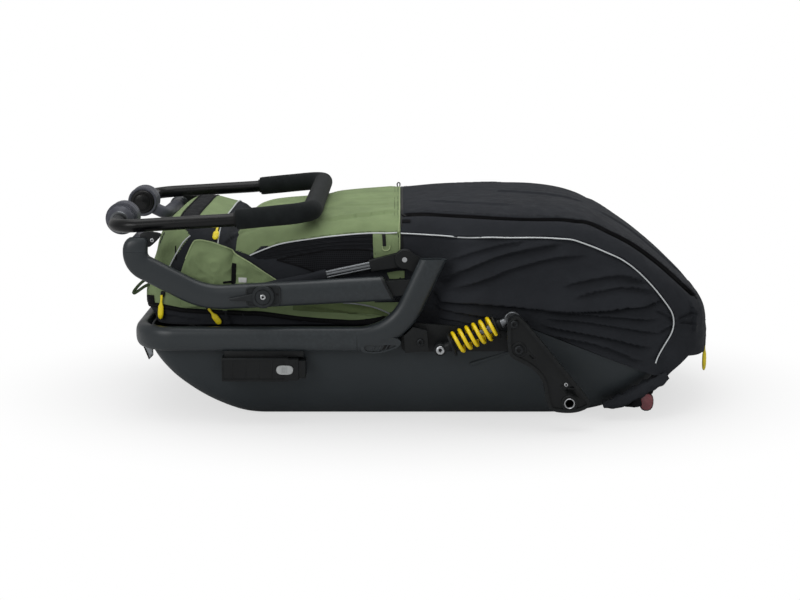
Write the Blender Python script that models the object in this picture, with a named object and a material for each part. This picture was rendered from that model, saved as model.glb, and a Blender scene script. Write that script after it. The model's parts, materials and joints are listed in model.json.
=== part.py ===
"""Dog bike trailer, folded flat with its wheels taken off.

Metres, +Z up. The trailer's front is at -X and its left side at -Y. The floor tub rests on Z = 0.
"""
import math

import bmesh
import bpy
from mathutils import Matrix, Vector

# Clearances
GAP = 0.0003
RUNNING = 0.0003

# Main frame
FRAME_HALF = 0.285
TUBE_HALF_WIDTH = 0.014
TUBE_HALF_HEIGHT = 0.0215
TUBE_WALL = 0.002
TUBE_POWER = 2.6
TUBE_SIDES = 16
ARC_STEP = math.radians(18.5)
PLUG_DEPTH = 0.03
HUB_PLUG_DEPTH = 0.0135
FRONT_X = -0.477
RAIL_FRONT_X = FRONT_X - 0.007
RAIL_Z = 0.1535
FRONT_BEND_RADIUS = 0.062
SEAM_X = -0.102

# Cast corner and upright
CORNER_RADIUS = 0.1045
UPRIGHT_ANGLE = math.radians(65)
HINGE_Z = 0.246
HINGE_SHOULDER = 0.027
UPRIGHT_TOP = HINGE_Z + TUBE_HALF_HEIGHT + HINGE_SHOULDER
FOLD_ANGLE = math.radians(118)
HINGE_PLATE_HALF = 0.005
HINGE_PLATE_RADIUS = 0.0135
HINGE_PIN_RADIUS = 0.005
SLOT_RADIUS = 0.0145

# Upper frame, measured from the front cross tube
UPPER_LOW_BEND = (0.110, 0.130)
UPPER_HIGH_BEND = (-0.009, 0.030)
CROSS_TUBE_OFFSET = 0.085
CROSS_TUBE_Z = 0.246
CROSS_TUBE_RADIUS = 0.010

# Handle and its hubs
HUB_OFFSET = -0.056
HUB_Z = 0.3455
HUB_RADIUS = 0.029
HUB_PLANE = 0.130
HUB_INNER = 0.100
HUB_OUTER = 0.168
HUB_STUB_RADIUS = 0.006
HUB_STUB_LENGTH = 0.012
BUTTON_RADIUS = 0.0225
BUTTON_THICKNESS = 0.007
BUTTON_PROUD = 0.003
BUTTON_TRAVEL = 0.004
HANDLE_INSET = 0.035
HANDLE_HALF = FRAME_HALF - HANDLE_INSET
HANDLE_TUBE_RADIUS = 0.0117
UPPER_END_Z = HUB_Z - HANDLE_TUBE_RADIUS - 0.0258
UPPER_HIGH_BEND_Z = UPPER_END_Z - 0.020
HANDLE_KINK_X = 0.208
HANDLE_KINK_RISE = 0.0125
HANDLE_REACH = 0.351
HANDLE_RISE = 0.0265
HANDLE_BACK_BEND = 0.045
HANDLE_GRIP_BEND = 0.040
FOAM_RADIUS = 0.018
FOAM_START = 0.220

# Cabin bow
BOW_PIVOT = (-0.019, 0.291)
BOW_SLOPE = math.radians(12)
BOW_INSET = 0.0305
BOW_HALF = FRAME_HALF - BOW_INSET
BOW_HALF_HEIGHT = 0.008
BOW_HALF_WIDTH = 0.006
BOW_FRONT_OFFSET = 0.055
BOW_BEND = 0.050
KNUCKLE_RADIUS = 0.0165
KNUCKLE_HALF_WIDTH = 0.008
KNUCKLE_LENGTH = 0.062
BOW_PIN_RADIUS = 0.0045
BOW_BRACKET_THICKNESS = 0.006

# Floor tub
TUB_WALL = 0.003
TUB_RIM_Z = 0.170
TUB_REAR_X = 0.507
TUB_REAR_RADIUS = 0.120
TUB_SLOPE_START = 0.198
TUB_SLOPE = math.tan(math.radians(21.6))
MAT_THICKNESS = 0.015

# Suspension
ARM_PIVOT = (0.177, 0.146)
ARM_AXLE = (0.266, 0.051)
ARM_PROUD = 0.060
ARM_OUTER = FRAME_HALF + ARM_PROUD
ARM_THICKNESS = 0.018
ARM_RIM = 0.005
ARM_RECESS = 0.003
ARM_BOSS_RADIUS = 0.013
ARM_BOLT_RADIUS = 0.0062
AXLE_BUSH_OUTER = 0.0093
AXLE_BUSH_INNER = 0.0074
AXLE_BUSH_LENGTH = 0.030
SHOCK_FRONT = (0.043, 0.138)
SHOCK_REAR = (0.168, 0.191)
SHOCK_PROUD = 0.0162
SHOCK_Y = FRAME_HALF + SHOCK_PROUD
SHOCK_BOLT_RADIUS = 0.0042
SHOCK_EYE_WIDTH = 0.014
SHOCK_FRONT_EYE_RADIUS = 0.011
SHOCK_REAR_EYE_RADIUS = 0.0145
REAR_PIN_CLEARANCE = 0.0008
DAMPER_RADIUS = 0.0085
ROD_RADIUS = 0.005
SPRING_MEAN_RADIUS = 0.0187
SPRING_WIRE_RADIUS = 0.00275
SPRING_START = 0.0275
SPRING_END = 0.1005
SPRING_TURNS = 6.5
SPRING_POINTS_A_TURN = 9
SEAT_THICKNESS = 0.004
SEAT_RADIUS = 0.0215
BRACKET_THICKNESS = 0.007

# Tow socket
SOCKET_FRONT_X = -0.339
SOCKET_REAR_X = -0.192
SOCKET_LOW_Z = 0.080
SOCKET_HIGH_Z = 0.122
SOCKET_PROUD = 0.017
SOCKET_OUTER = FRAME_HALF + SOCKET_PROUD
SOCKET_WALL = 0.003
SOCKET_BLOCK_LENGTH = 0.052
TOW_BUTTON_CENTRE = (-0.2285, 0.101)
TOW_BUTTON_HALF_LENGTH = 0.0145
TOW_BUTTON_HALF_HEIGHT = 0.008
TOW_BUTTON_THICKNESS = 0.0085
TOW_BUTTON_PROUD = 0.0015
TOW_BUTTON_TRAVEL = 0.004

# Covers
COVER_INSET = 0.042
COVER_HALF = FRAME_HALF - COVER_INSET
COVER_WALL = 0.004
COVER_SEAT = 0.0006
COVER_STEPS = 14
FOLD_RADIUS = 0.009
FOLD_SINK = 0.35
FRONT_COVER_END = -0.323
ROOF_COVER_END = -0.027
REAR_COVER_END = 0.5586
REAR_COVER_LOW = 0.075

# Zip pulls
PULL_WIDTH = 0.0055
PULL_THICKNESS = 0.003
PULL_STEPS = 12

SIDES = (("left", -1), ("right", 1))
AXIS_X = Vector((1, 0, 0))
AXIS_Y = Vector((0, 1, 0))
AXIS_Z = Vector((0, 0, 1))


def clear_scene():
    for obj in list(bpy.data.objects):
        bpy.data.objects.remove(obj, do_unlink=True)


def material(name, colour, roughness, metallic=0.0):
    found = bpy.data.materials.get(name)
    if found:
        return found
    made = bpy.data.materials.new(name)
    made.use_nodes = True
    shader = made.node_tree.nodes["Principled BSDF"]
    shader.inputs["Base Color"].default_value = (*colour, 1)
    shader.inputs["Roughness"].default_value = roughness
    shader.inputs["Metallic"].default_value = metallic
    return made


def frame_paint():
    return material("frame_anthracite", (0.045, 0.053, 0.058), 0.38, 0.4)


def black_plastic():
    return material("black_plastic", (0.014, 0.014, 0.015), 0.45)


def slate_plastic():
    return material("slate_plastic", (0.070, 0.070, 0.088), 0.5)


def steel():
    return material("bright_steel", (0.62, 0.62, 0.63), 0.28, 1.0)


def yellow_pull():
    return material("yellow_pull", (0.88, 0.68, 0.01), 0.55)


def place_mesh(name, bm, finish, origin=(0, 0, 0)):
    """Make a named object from a mesh in world space, with its origin at the given point."""
    bmesh.ops.recalc_face_normals(bm, faces=bm.faces)
    bmesh.ops.translate(bm, verts=bm.verts, vec=-Vector(origin))
    mesh = bpy.data.meshes.new(name)
    bm.to_mesh(mesh)
    bm.free()
    mesh.shade_smooth()
    mesh.set_sharp_from_angle(angle=math.radians(35))
    obj = bpy.data.objects.new(name, mesh)
    obj.location = origin
    bpy.context.scene.collection.objects.link(obj)
    if finish:
        obj.data.materials.append(finish)
    return obj


def helper(obj):
    """Mark an object as a cutter or an added shape that isn't a piece itself."""
    obj.hide_render = True
    obj.display_type = "WIRE"
    return obj


def combine(target, tool, operation):
    change = target.modifiers.new(operation.lower() + "_" + tool.name, "BOOLEAN")
    change.operation = operation
    change.object = helper(tool)


def oval(half_a, half_b, sides=TUBE_SIDES, power=TUBE_POWER):
    """Points of a superellipse, as pairs."""
    points = []
    for step in range(sides):
        turn = 2 * math.pi * step / sides
        a = math.copysign(abs(math.cos(turn)) ** (2 / power), math.cos(turn))
        b = math.copysign(abs(math.sin(turn)) ** (2 / power), math.sin(turn))
        points.append((half_a * a, half_b * b))
    return points


def circle(radius, sides=12):
    return oval(radius, radius, sides, 2)


def rounded_path(corners, radii):
    """Straight runs joined by arcs, with one radius for each inner corner."""
    path = [Vector(corners[0])]
    for before, corner, after, radius in zip(corners, corners[1:], corners[2:], radii):
        corner = Vector(corner)
        into = (Vector(before) - corner).normalized()
        out = (Vector(after) - corner).normalized()
        half = into.angle(out) / 2
        centre = corner + (into + out).normalized() * radius / math.sin(half)
        start = corner + into * radius / math.tan(half) - centre
        axis = into.cross(out).normalized()
        arc_steps = math.ceil((math.pi - 2 * half) / ARC_STEP)
        for step in range(arc_steps + 1):
            turn = (2 * half - math.pi) * step / arc_steps
            path.append(centre + Matrix.Rotation(turn, 3, axis) @ start)
    path.append(Vector(corners[-1]))
    if (path[1] - path[0]).length < 1e-5:
        path.pop(0)
    if (path[-2] - path[-1]).length < 1e-5:
        path.pop()
    return path


def sweep_rings(path, section, fixed):
    """Rings of the section along the path; the section's first measure runs along the fixed axis."""
    rings = []
    for index, point in enumerate(path):
        before = path[max(index - 1, 0)]
        after = path[min(index + 1, len(path) - 1)]
        tangent = (after - before).normalized()
        across = tangent.cross(fixed).normalized()
        along = across.cross(tangent)
        rings.append([point + along * a + across * b for a, b in section])
    return rings


def mitre(ring, direction, plane_point, plane_normal):
    """Slide a ring's points along a direction onto a plane."""
    slope = direction.dot(plane_normal)
    return [point + direction * ((plane_point - point).dot(plane_normal) / slope) for point in ring]


def skin(bm, rings, flip=False):
    """Join rings of vertices with quads and return the rows of vertices."""
    rows = [[bm.verts.new(point) for point in ring] for ring in rings]
    for low, high in zip(rows, rows[1:]):
        for index in range(len(low)):
            after = (index + 1) % len(low)
            face = [low[index], low[after], high[after], high[index]]
            bm.faces.new(face[::-1] if flip else face)
    return rows


def solid_from_rings(name, rings, finish, origin=(0, 0, 0)):
    bm = bmesh.new()
    rows = skin(bm, rings)
    bm.faces.new(rows[0][::-1])
    bm.faces.new(rows[-1])
    return place_mesh(name, bm, finish, origin)


def pipe_from_rings(name, outer, inner, finish, origin=(0, 0, 0)):
    """A pipe with open ends, from matching outer and inner rings."""
    bm = bmesh.new()
    outside = skin(bm, outer)
    inside = skin(bm, inner, flip=True)
    for end in (0, -1):
        for index in range(len(outside[end])):
            after = (index + 1) % len(outside[end])
            bm.faces.new([outside[end][index], outside[end][after], inside[end][after], inside[end][index]])
    return place_mesh(name, bm, finish, origin)


def pipe(name, path, outer, inner, fixed, finish, origin=(0, 0, 0)):
    outside = sweep_rings(path, outer, fixed)
    inside = sweep_rings(path, inner, fixed)
    return pipe_from_rings(name, outside, inside, finish, origin)


def rod(name, path, section, fixed, finish, origin=(0, 0, 0)):
    return solid_from_rings(name, sweep_rings(path, section, fixed), finish, origin)


def turned(name, profile, centre, axis, finish, sides=16, origin=(0, 0, 0)):
    """Turn a profile of (radius, distance along the axis). A profile off the axis closes on itself."""
    axis = Vector(axis).normalized()
    first = axis.orthogonal().normalized()
    second = axis.cross(first)
    bm = bmesh.new()
    rows = []
    for radius, distance in profile:
        middle = Vector(centre) + axis * distance
        if radius < 1e-7:
            rows.append([bm.verts.new(middle)])
            continue
        ring = []
        for step in range(sides):
            turn = 2 * math.pi * step / sides
            spoke = first * (radius * math.cos(turn)) + second * (radius * math.sin(turn))
            ring.append(bm.verts.new(middle + spoke))
        rows.append(ring)
    if len(rows[0]) > 1:
        rows.append(rows[0])
    for low, high in zip(rows, rows[1:]):
        for index in range(sides):
            after = (index + 1) % sides
            corners = [low[index % len(low)], low[after % len(low)]]
            corners += [high[after % len(high)], high[index % len(high)]]
            corners = list(dict.fromkeys(corners))
            bm.faces.new(corners)
    return place_mesh(name, bm, finish, origin)


def cylinder(name, centre, axis, low, high, radius, finish, sides=16, origin=(0, 0, 0)):
    profile = [(0, low), (radius, low), (radius, high), (0, high)]
    return turned(name, profile, centre, axis, finish, sides, origin)


def plate(name, outline, y_first, y_second, finish, origin=(0, 0, 0), recess=None):
    """Extrude an outline in X and Z along Y. A recess (rim, depth) sinks the second face inside a rim."""
    bm = bmesh.new()
    rings = [[Vector((x, y, z)) for x, z in outline] for y in (y_first, y_second)]
    rows = skin(bm, rings)
    bm.faces.new(rows[0][::-1])
    outer = bm.faces.new(rows[1])
    if recess:
        rim, depth = recess
        bm.normal_update()
        bmesh.ops.inset_region(bm, faces=[outer], thickness=rim)
        bm.normal_update()
        bmesh.ops.inset_region(bm, faces=[outer], thickness=depth * 0.3)
        inward = math.copysign(depth, y_first - y_second)
        bmesh.ops.translate(bm, verts=outer.verts, vec=(0, inward, 0))
    return place_mesh(name, bm, finish, origin)


def block(name, low, high, finish, origin=(0, 0, 0)):
    outline = [(low[0], low[2]), (high[0], low[2]), (high[0], high[2]), (low[0], high[2])]
    return plate(name, outline, low[1], high[1], finish, origin)


def arc(centre, radius, first, last, steps):
    """Points of an arc in X and Z, with angles in degrees."""
    points = []
    for step in range(steps + 1):
        turn = math.radians(first + (last - first) * step / steps)
        points.append((centre[0] + radius * math.cos(turn), centre[1] + radius * math.sin(turn)))
    return points


def corner_knee():
    """Where the rail's centre line meets the upright's."""
    return Vector((SEAM_X + CORNER_RADIUS * math.tan(UPRIGHT_ANGLE / 2), 0, RAIL_Z))


def upright_direction():
    return Vector((math.cos(UPRIGHT_ANGLE), 0, math.sin(UPRIGHT_ANGLE)))


def fold_pivot():
    reach = (HINGE_Z - RAIL_Z) / math.sin(UPRIGHT_ANGLE)
    return corner_knee() + upright_direction() * reach


def folded_direction():
    """The upper tube's direction away from the hinge, folded down."""
    turn = UPRIGHT_ANGLE + FOLD_ANGLE
    return Vector((math.cos(turn), 0, math.sin(turn)))


def bore_section(extra=0.0):
    return oval(TUBE_HALF_WIDTH - TUBE_WALL - extra, TUBE_HALF_HEIGHT - TUBE_WALL - extra)


def lower_frame():
    left = Vector((SEAM_X, -FRAME_HALF, RAIL_Z))
    right = Vector((SEAM_X, FRAME_HALF, RAIL_Z))
    front_left = Vector((RAIL_FRONT_X, -FRAME_HALF, RAIL_Z))
    front_right = Vector((RAIL_FRONT_X, FRAME_HALF, RAIL_Z))
    path = rounded_path([left, front_left, front_right, right], [FRONT_BEND_RADIUS] * 2)
    outer = oval(TUBE_HALF_HEIGHT, TUBE_HALF_WIDTH)
    inner = oval(TUBE_HALF_HEIGHT - TUBE_WALL, TUBE_HALF_WIDTH - TUBE_WALL)
    pipe("lower_frame", path, outer, inner, AXIS_Z, frame_paint())


def frame_corner(side_name, side):
    """Cast corner with a spigot in the rail and a slot at its top for the hinge arm."""
    y = side * FRAME_HALF
    offset = Vector((0, y, 0))
    knee = corner_knee()
    top = knee + upright_direction() * ((UPRIGHT_TOP - RAIL_Z) / math.sin(UPRIGHT_ANGLE))
    path = rounded_path([Vector((SEAM_X, 0, RAIL_Z)), knee, top], [CORNER_RADIUS])
    section = oval(TUBE_HALF_WIDTH, TUBE_HALF_HEIGHT)
    rings = sweep_rings([point + offset for point in path], section, AXIS_Y)
    rings[0] = mitre(rings[0], AXIS_X, Vector((SEAM_X + GAP, 0, 0)), AXIS_X)
    rings[-1] = mitre(rings[-1], upright_direction(), top, AXIS_Z)
    body = solid_from_rings("frame_corner_" + side_name, rings, frame_paint())
    plug_path = [Vector((SEAM_X + x, y, RAIL_Z)) for x in (-PLUG_DEPTH, 4 * GAP)]
    plug = rod("corner_plug_" + side_name, plug_path, bore_section(GAP), AXIS_Y, None)
    combine(body, plug, "UNION")

    web_outline = [
        (0.006, -0.006), (0.006, -0.0212), (0.022, -0.0236), (0.040, -0.0230), (0.055, -0.0190),
        (0.0765, -0.0110), (0.0765, 0.002), (0.050, 0.006),
    ]
    web_outline = [(SEAM_X + x, RAIL_Z + z) for x, z in web_outline]
    web_face = y + side * (TUBE_HALF_WIDTH - 0.0012)
    web_inner = y - side * 0.012
    web = plate("corner_web_" + side_name, web_outline, web_inner, web_face, None, (0, 0, 0), (0.0016, 0.003))
    combine(body, web, "UNION")

    pivot = fold_pivot()
    centre = (pivot.x, pivot.z)
    low_edge = math.degrees(UPRIGHT_ANGLE + FOLD_ANGLE) + 90 - 360
    high_edge = math.degrees(UPRIGHT_ANGLE) - 90
    rounding = arc(centre, SLOT_RADIUS, low_edge, high_edge, 5)
    reach = 3 * SLOT_RADIUS + PLUG_DEPTH
    start = Vector((rounding[0][0], 0, rounding[0][1])) + folded_direction() * reach
    end = Vector((rounding[-1][0], 0, rounding[-1][1])) + upright_direction() * reach
    beyond = pivot + (start - pivot) + (end - pivot)
    outline = rounding + [(end.x, end.z), (beyond.x, beyond.z), (start.x, start.z)]
    half = HINGE_PLATE_HALF + RUNNING
    slot = plate("hinge_slot_" + side_name, outline, y - half, y + half, None)
    combine(body, slot, "DIFFERENCE")
    pin_hole = cylinder(
        "hinge_pin_hole_" + side_name, pivot + offset, AXIS_Y, -0.05, 0.05, HINGE_PIN_RADIUS + GAP, None, 16
    )
    combine(body, pin_hole, "DIFFERENCE")


def hinge_pin(side_name, side):
    pivot = fold_pivot() + Vector((0, side * FRAME_HALF, 0))
    half = TUBE_HALF_WIDTH - GAP
    cylinder("hinge_pin_" + side_name, pivot, AXIS_Y, -half, half, HINGE_PIN_RADIUS, steel(), 16)


def upper_tube_path(side):
    """Centre line of the folded upper tube, from the hinge end to the hub end."""
    pivot = fold_pivot()
    direction = folded_direction()
    drop = UPRIGHT_TOP - HINGE_Z + 2 * GAP
    normal_turn = FOLD_ANGLE + math.pi / 2
    normal = Vector((math.cos(normal_turn), 0, math.sin(normal_turn)))
    end = pivot + direction * (drop / direction.dot(normal))
    low_x = FRONT_X + UPPER_LOW_BEND[0]
    low = pivot + direction * ((low_x - pivot.x) / direction.x)
    high_x = FRONT_X + UPPER_HIGH_BEND[0]
    high = Vector((high_x, 0, UPPER_HIGH_BEND_Z))
    top = Vector((high_x, 0, UPPER_END_Z))
    path = rounded_path([end, low, high, top], [UPPER_LOW_BEND[1], UPPER_HIGH_BEND[1]])
    offset = Vector((0, side * FRAME_HALF, 0))
    return [point + offset for point in path], direction, normal


def upper_tube(side_name, side):
    path, direction, normal = upper_tube_path(side)
    outer = sweep_rings(path, oval(TUBE_HALF_WIDTH, TUBE_HALF_HEIGHT), AXIS_Y)
    inner = sweep_rings(path, bore_section(), AXIS_Y)
    outer[0] = mitre(outer[0], direction, path[0], normal)
    inner[0] = mitre(inner[0], direction, path[0], normal)
    pipe_from_rings("upper_tube_" + side_name, outer, inner, frame_paint(), fold_pivot())


def hinge_arm(side_name, side):
    """Plate that turns in the upright's slot, with a plug that fills the upper tube's end."""
    path, direction, _ = upper_tube_path(side)
    pivot = fold_pivot()
    y = side * FRAME_HALF
    across = Vector((-direction.z, 0, direction.x))
    turn = math.degrees(math.atan2(direction.z, direction.x))
    outline = arc((pivot.x, pivot.z), HINGE_PLATE_RADIUS, turn - 90, turn - 270, 8)
    far = path[0] + direction * (PLUG_DEPTH / 2)
    for edge in (1, -1):
        corner = far + across * (HINGE_PLATE_RADIUS * edge)
        outline.append((corner.x, corner.z))
    arm = plate(
        "hinge_arm_" + side_name, outline, y - HINGE_PLATE_HALF, y + HINGE_PLATE_HALF, black_plastic(), pivot
    )
    start = path[0] + direction * (TUBE_HALF_HEIGHT / 2)
    plug_path = [start, start + direction * PLUG_DEPTH]
    plug = rod("hinge_plug_" + side_name, plug_path, bore_section(GAP), AXIS_Y, None)
    combine(arm, plug, "UNION")
    hole = cylinder(
        "hinge_arm_hole_" + side_name, pivot + Vector((0, y, 0)), AXIS_Y, -0.02, 0.02,
        HINGE_PIN_RADIUS + RUNNING, None, 16,
    )
    combine(arm, hole, "DIFFERENCE")


def upper_cross_tube():
    half = FRAME_HALF - TUBE_HALF_WIDTH - GAP
    x = FRONT_X + CROSS_TUBE_OFFSET
    path = [Vector((x, -half, CROSS_TUBE_Z)), Vector((x, half, CROSS_TUBE_Z))]
    inner = circle(CROSS_TUBE_RADIUS - TUBE_WALL)
    pipe("upper_cross_tube", path, circle(CROSS_TUBE_RADIUS), inner, AXIS_Z, frame_paint(), fold_pivot())


def latch_centre(side):
    """Centre of the turning knob, on the upper tube's outer face."""
    pivot = fold_pivot()
    direction = folded_direction()
    x = FRONT_X + 0.213
    outer_side = Vector((0, side * (FRAME_HALF + TUBE_HALF_WIDTH), 0))
    return pivot + direction * ((x - pivot.x) / direction.x) + outer_side


def latch(side_name, side):
    centre = latch_centre(side)
    face = centre.y + side * GAP
    outline = [(centre.x + x, centre.z + z) for x, z in oval(0.030, 0.0165, 20, 3.2)]
    plate("latch_plate_" + side_name, outline, face, face + side * 0.004, black_plastic(), fold_pivot())
    knob_face = face + side * (0.004 + GAP)
    knob_centre = (centre.x, centre.z)
    outline = arc(knob_centre, 0.0175, -150, 150, 16)
    outline += [(centre.x - 0.040, centre.z + 0.006), (centre.x - 0.060, centre.z + 0.002)]
    outline += [(centre.x - 0.060, centre.z - 0.004), (centre.x - 0.040, centre.z - 0.007)]
    plate("latch_knob_" + side_name, outline, knob_face, knob_face + side * 0.010, black_plastic(), centre)


def hub_centre(side, y=0.0):
    return Vector((FRONT_X + HUB_OFFSET, side * y, HUB_Z))


def hub_bracket(side_name, side):
    """Casting from the upper tube's end to the fixed half of the handle hub."""
    axis = Vector((0, side, 0))
    pivot = fold_pivot()
    profile = [
        (0, HUB_INNER), (HUB_RADIUS, HUB_INNER), (HUB_RADIUS, HUB_PLANE), (HUB_STUB_RADIUS, HUB_PLANE),
        (HUB_STUB_RADIUS, HUB_PLANE + HUB_STUB_LENGTH), (0, HUB_PLANE + HUB_STUB_LENGTH),
    ]
    disc = turned("hub_bracket_" + side_name, profile, hub_centre(side), axis, slate_plastic(), 20, pivot)
    top = upper_tube_path(side)[0][-1]
    radius = TUBE_HALF_WIDTH - TUBE_WALL - GAP
    arm_z = HUB_Z - HANDLE_TUBE_RADIUS - radius - 0.0015
    elbow = Vector((top.x, top.y, arm_z))
    arm_y = side * (HUB_INNER + HUB_PLANE) / 2
    inner = Vector((top.x - 0.004, arm_y, arm_z))
    hub_end = Vector((hub_centre(side).x + 0.012, arm_y, HUB_Z - 0.010))
    path = rounded_path([elbow - AXIS_Z * HUB_PLUG_DEPTH, elbow, inner, hub_end], [0.012, 0.014])
    rings = []
    for index, point in enumerate(path):
        before = path[max(index - 1, 0)]
        after = path[min(index + 1, len(path) - 1)]
        tangent = (after - before).normalized()
        across = tangent.cross(AXIS_X).normalized()
        along = across.cross(tangent)
        rings.append([point + along * a + across * b for a, b in circle(radius, 12)])
    arm = solid_from_rings("hub_arm_" + side_name, rings, None)
    combine(disc, arm, "UNION")
    cap_path = [top + AXIS_Z * GAP, Vector((top.x, top.y, arm_z + radius))]
    cap = rod("hub_cap_" + side_name, cap_path, oval(TUBE_HALF_WIDTH, TUBE_HALF_HEIGHT), AXIS_Y, None)
    combine(disc, cap, "UNION")
    pocket_depth = BUTTON_THICKNESS - BUTTON_PROUD + BUTTON_TRAVEL + GAP
    pocket = cylinder(
        "button_pocket_" + side_name, hub_centre(side), axis, HUB_INNER - 0.03, HUB_INNER + pocket_depth,
        BUTTON_RADIUS + RUNNING, None, 20,
    )
    combine(disc, pocket, "DIFFERENCE")


def hub_button(side_name, side):
    axis = Vector((0, side, 0))
    low = HUB_INNER - BUTTON_PROUD
    edge = 0.0015
    profile = [
        (0, low), (BUTTON_RADIUS - edge, low), (BUTTON_RADIUS, low + edge),
        (BUTTON_RADIUS, low + BUTTON_THICKNESS), (0, low + BUTTON_THICKNESS),
    ]
    origin = hub_centre(side, low)
    turned("hub_button_" + side_name, profile, hub_centre(side), axis, black_plastic(), 20, origin)


def hub_shell(side_name, side):
    """Moving half of the hub: a dome that takes the handle tube's end and turns on the bracket's stub."""
    axis = Vector((0, side, 0))
    inner = HUB_PLANE + GAP
    socket = HUB_STUB_RADIUS + RUNNING
    stub_end = HUB_PLANE + HUB_STUB_LENGTH + GAP
    tube_bore = HANDLE_TUBE_RADIUS + GAP
    profile = [
        (0, stub_end), (socket, stub_end), (socket, inner), (HUB_RADIUS, inner),
        (HUB_RADIUS, HUB_OUTER - 0.020), (HUB_RADIUS - 0.003, HUB_OUTER - 0.011),
        (HUB_RADIUS - 0.009, HUB_OUTER - 0.004), (HUB_RADIUS - 0.0125, HUB_OUTER),
        (tube_bore, HUB_OUTER), (tube_bore, HUB_OUTER - 0.022), (0, HUB_OUTER - 0.022),
    ]
    turned("hub_shell_" + side_name, profile, hub_centre(side), axis, slate_plastic(), 16, hub_centre(side))


def handle_line(distance, side):
    """A point on the handle arm's centre line, at a distance behind the hub's axis."""
    hub = hub_centre(side)
    if distance <= HANDLE_KINK_X:
        rise = HANDLE_KINK_RISE * distance / HANDLE_KINK_X
    else:
        share = (distance - HANDLE_KINK_X) / (HANDLE_REACH - HANDLE_KINK_X)
        rise = HANDLE_KINK_RISE + (HANDLE_RISE - HANDLE_KINK_RISE) * share
    return Vector((hub.x + distance, side * HANDLE_HALF, HUB_Z + rise))


def handle():
    hub = hub_centre(-1)
    tube_end = HUB_OUTER - 0.022 + GAP
    half_corners = [Vector((hub.x, -tube_end, HUB_Z)), handle_line(0, -1), handle_line(HANDLE_KINK_X, -1)]
    half_corners.append(handle_line(HANDLE_REACH, -1))
    mirrored = [Vector((point.x, -point.y, point.z)) for point in reversed(half_corners)]
    radii = [HANDLE_BACK_BEND, 0.4, HANDLE_GRIP_BEND]
    path = rounded_path(half_corners + mirrored, radii + radii[::-1])
    inner = circle(HANDLE_TUBE_RADIUS - TUBE_WALL)
    gloss = material("gloss_black_tube", (0.010, 0.010, 0.011), 0.18)
    pipe("handle_tube", path, circle(HANDLE_TUBE_RADIUS), inner, AXIS_Z, gloss, hub)
    foam_corners = [handle_line(FOAM_START, -1), handle_line(HANDLE_REACH, -1)]
    foam_corners += [handle_line(HANDLE_REACH, 1), handle_line(FOAM_START, 1)]
    foam_path = rounded_path(foam_corners, [HANDLE_GRIP_BEND] * 2)
    foam = material("grip_foam", (0.022, 0.023, 0.025), 0.95)
    foam_bore = circle(HANDLE_TUBE_RADIUS + 2 * GAP)
    pipe("foam_grip", foam_path, circle(FOAM_RADIUS), foam_bore, AXIS_Z, foam, hub)


def bow_direction():
    return Vector((-math.cos(BOW_SLOPE), 0, -math.sin(BOW_SLOPE)))


def bow_pivot(side, y=BOW_HALF):
    return Vector((BOW_PIVOT[0], side * y, BOW_PIVOT[1]))


def bow_path():
    front_x = FRONT_X + BOW_FRONT_OFFSET
    reach = (front_x - BOW_PIVOT[0]) / bow_direction().x
    corners = []
    for side, far_first in ((-1, False), (1, True)):
        start = bow_pivot(side) + bow_direction() * (KNUCKLE_RADIUS + 0.004)
        corner = bow_pivot(side) + bow_direction() * reach
        corners += [corner, start] if far_first else [start, corner]
    return rounded_path(corners, [BOW_BEND] * 2)


def cabin_bow():
    aluminium = material("bow_aluminium", (0.45, 0.46, 0.47), 0.35, 1.0)
    section = oval(BOW_HALF_HEIGHT, BOW_HALF_WIDTH, 12, 3)
    rod("cabin_bow", bow_path(), section, AXIS_Z, aluminium, bow_pivot(-1))


def bow_knuckle(side_name, side):
    """Plastic end piece that holds the bow's leg and turns on the bracket's pin."""
    pivot = bow_pivot(side)
    direction = bow_direction()
    across = Vector((-direction.z, 0, direction.x))
    turn = math.degrees(math.atan2(direction.z, direction.x))
    outline = arc(BOW_PIVOT, KNUCKLE_RADIUS, turn - 40, turn - 320, 14)
    far = pivot + direction * KNUCKLE_LENGTH
    for edge in (1, -1):
        corner = far + across * ((BOW_HALF_HEIGHT + 0.0025) * edge)
        outline.append((corner.x, corner.z))
    y_low = pivot.y - KNUCKLE_HALF_WIDTH
    y_high = pivot.y + KNUCKLE_HALF_WIDTH
    knuckle = plate("bow_knuckle_" + side_name, outline, y_low, y_high, black_plastic(), pivot)
    leg_path = [pivot + direction * (KNUCKLE_RADIUS + 0.004 - GAP), far + direction * 0.02]
    leg = rod(
        "bow_leg_space_" + side_name, leg_path, oval(BOW_HALF_HEIGHT + GAP, BOW_HALF_WIDTH + GAP, 12, 3),
        AXIS_Z, None
    )
    combine(knuckle, leg, "DIFFERENCE")
    hole_radius = BOW_PIN_RADIUS + RUNNING
    hole = cylinder("knuckle_hole_" + side_name, pivot, AXIS_Y, -0.03, 0.03, hole_radius, None, 12)
    combine(knuckle, hole, "DIFFERENCE")


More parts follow.
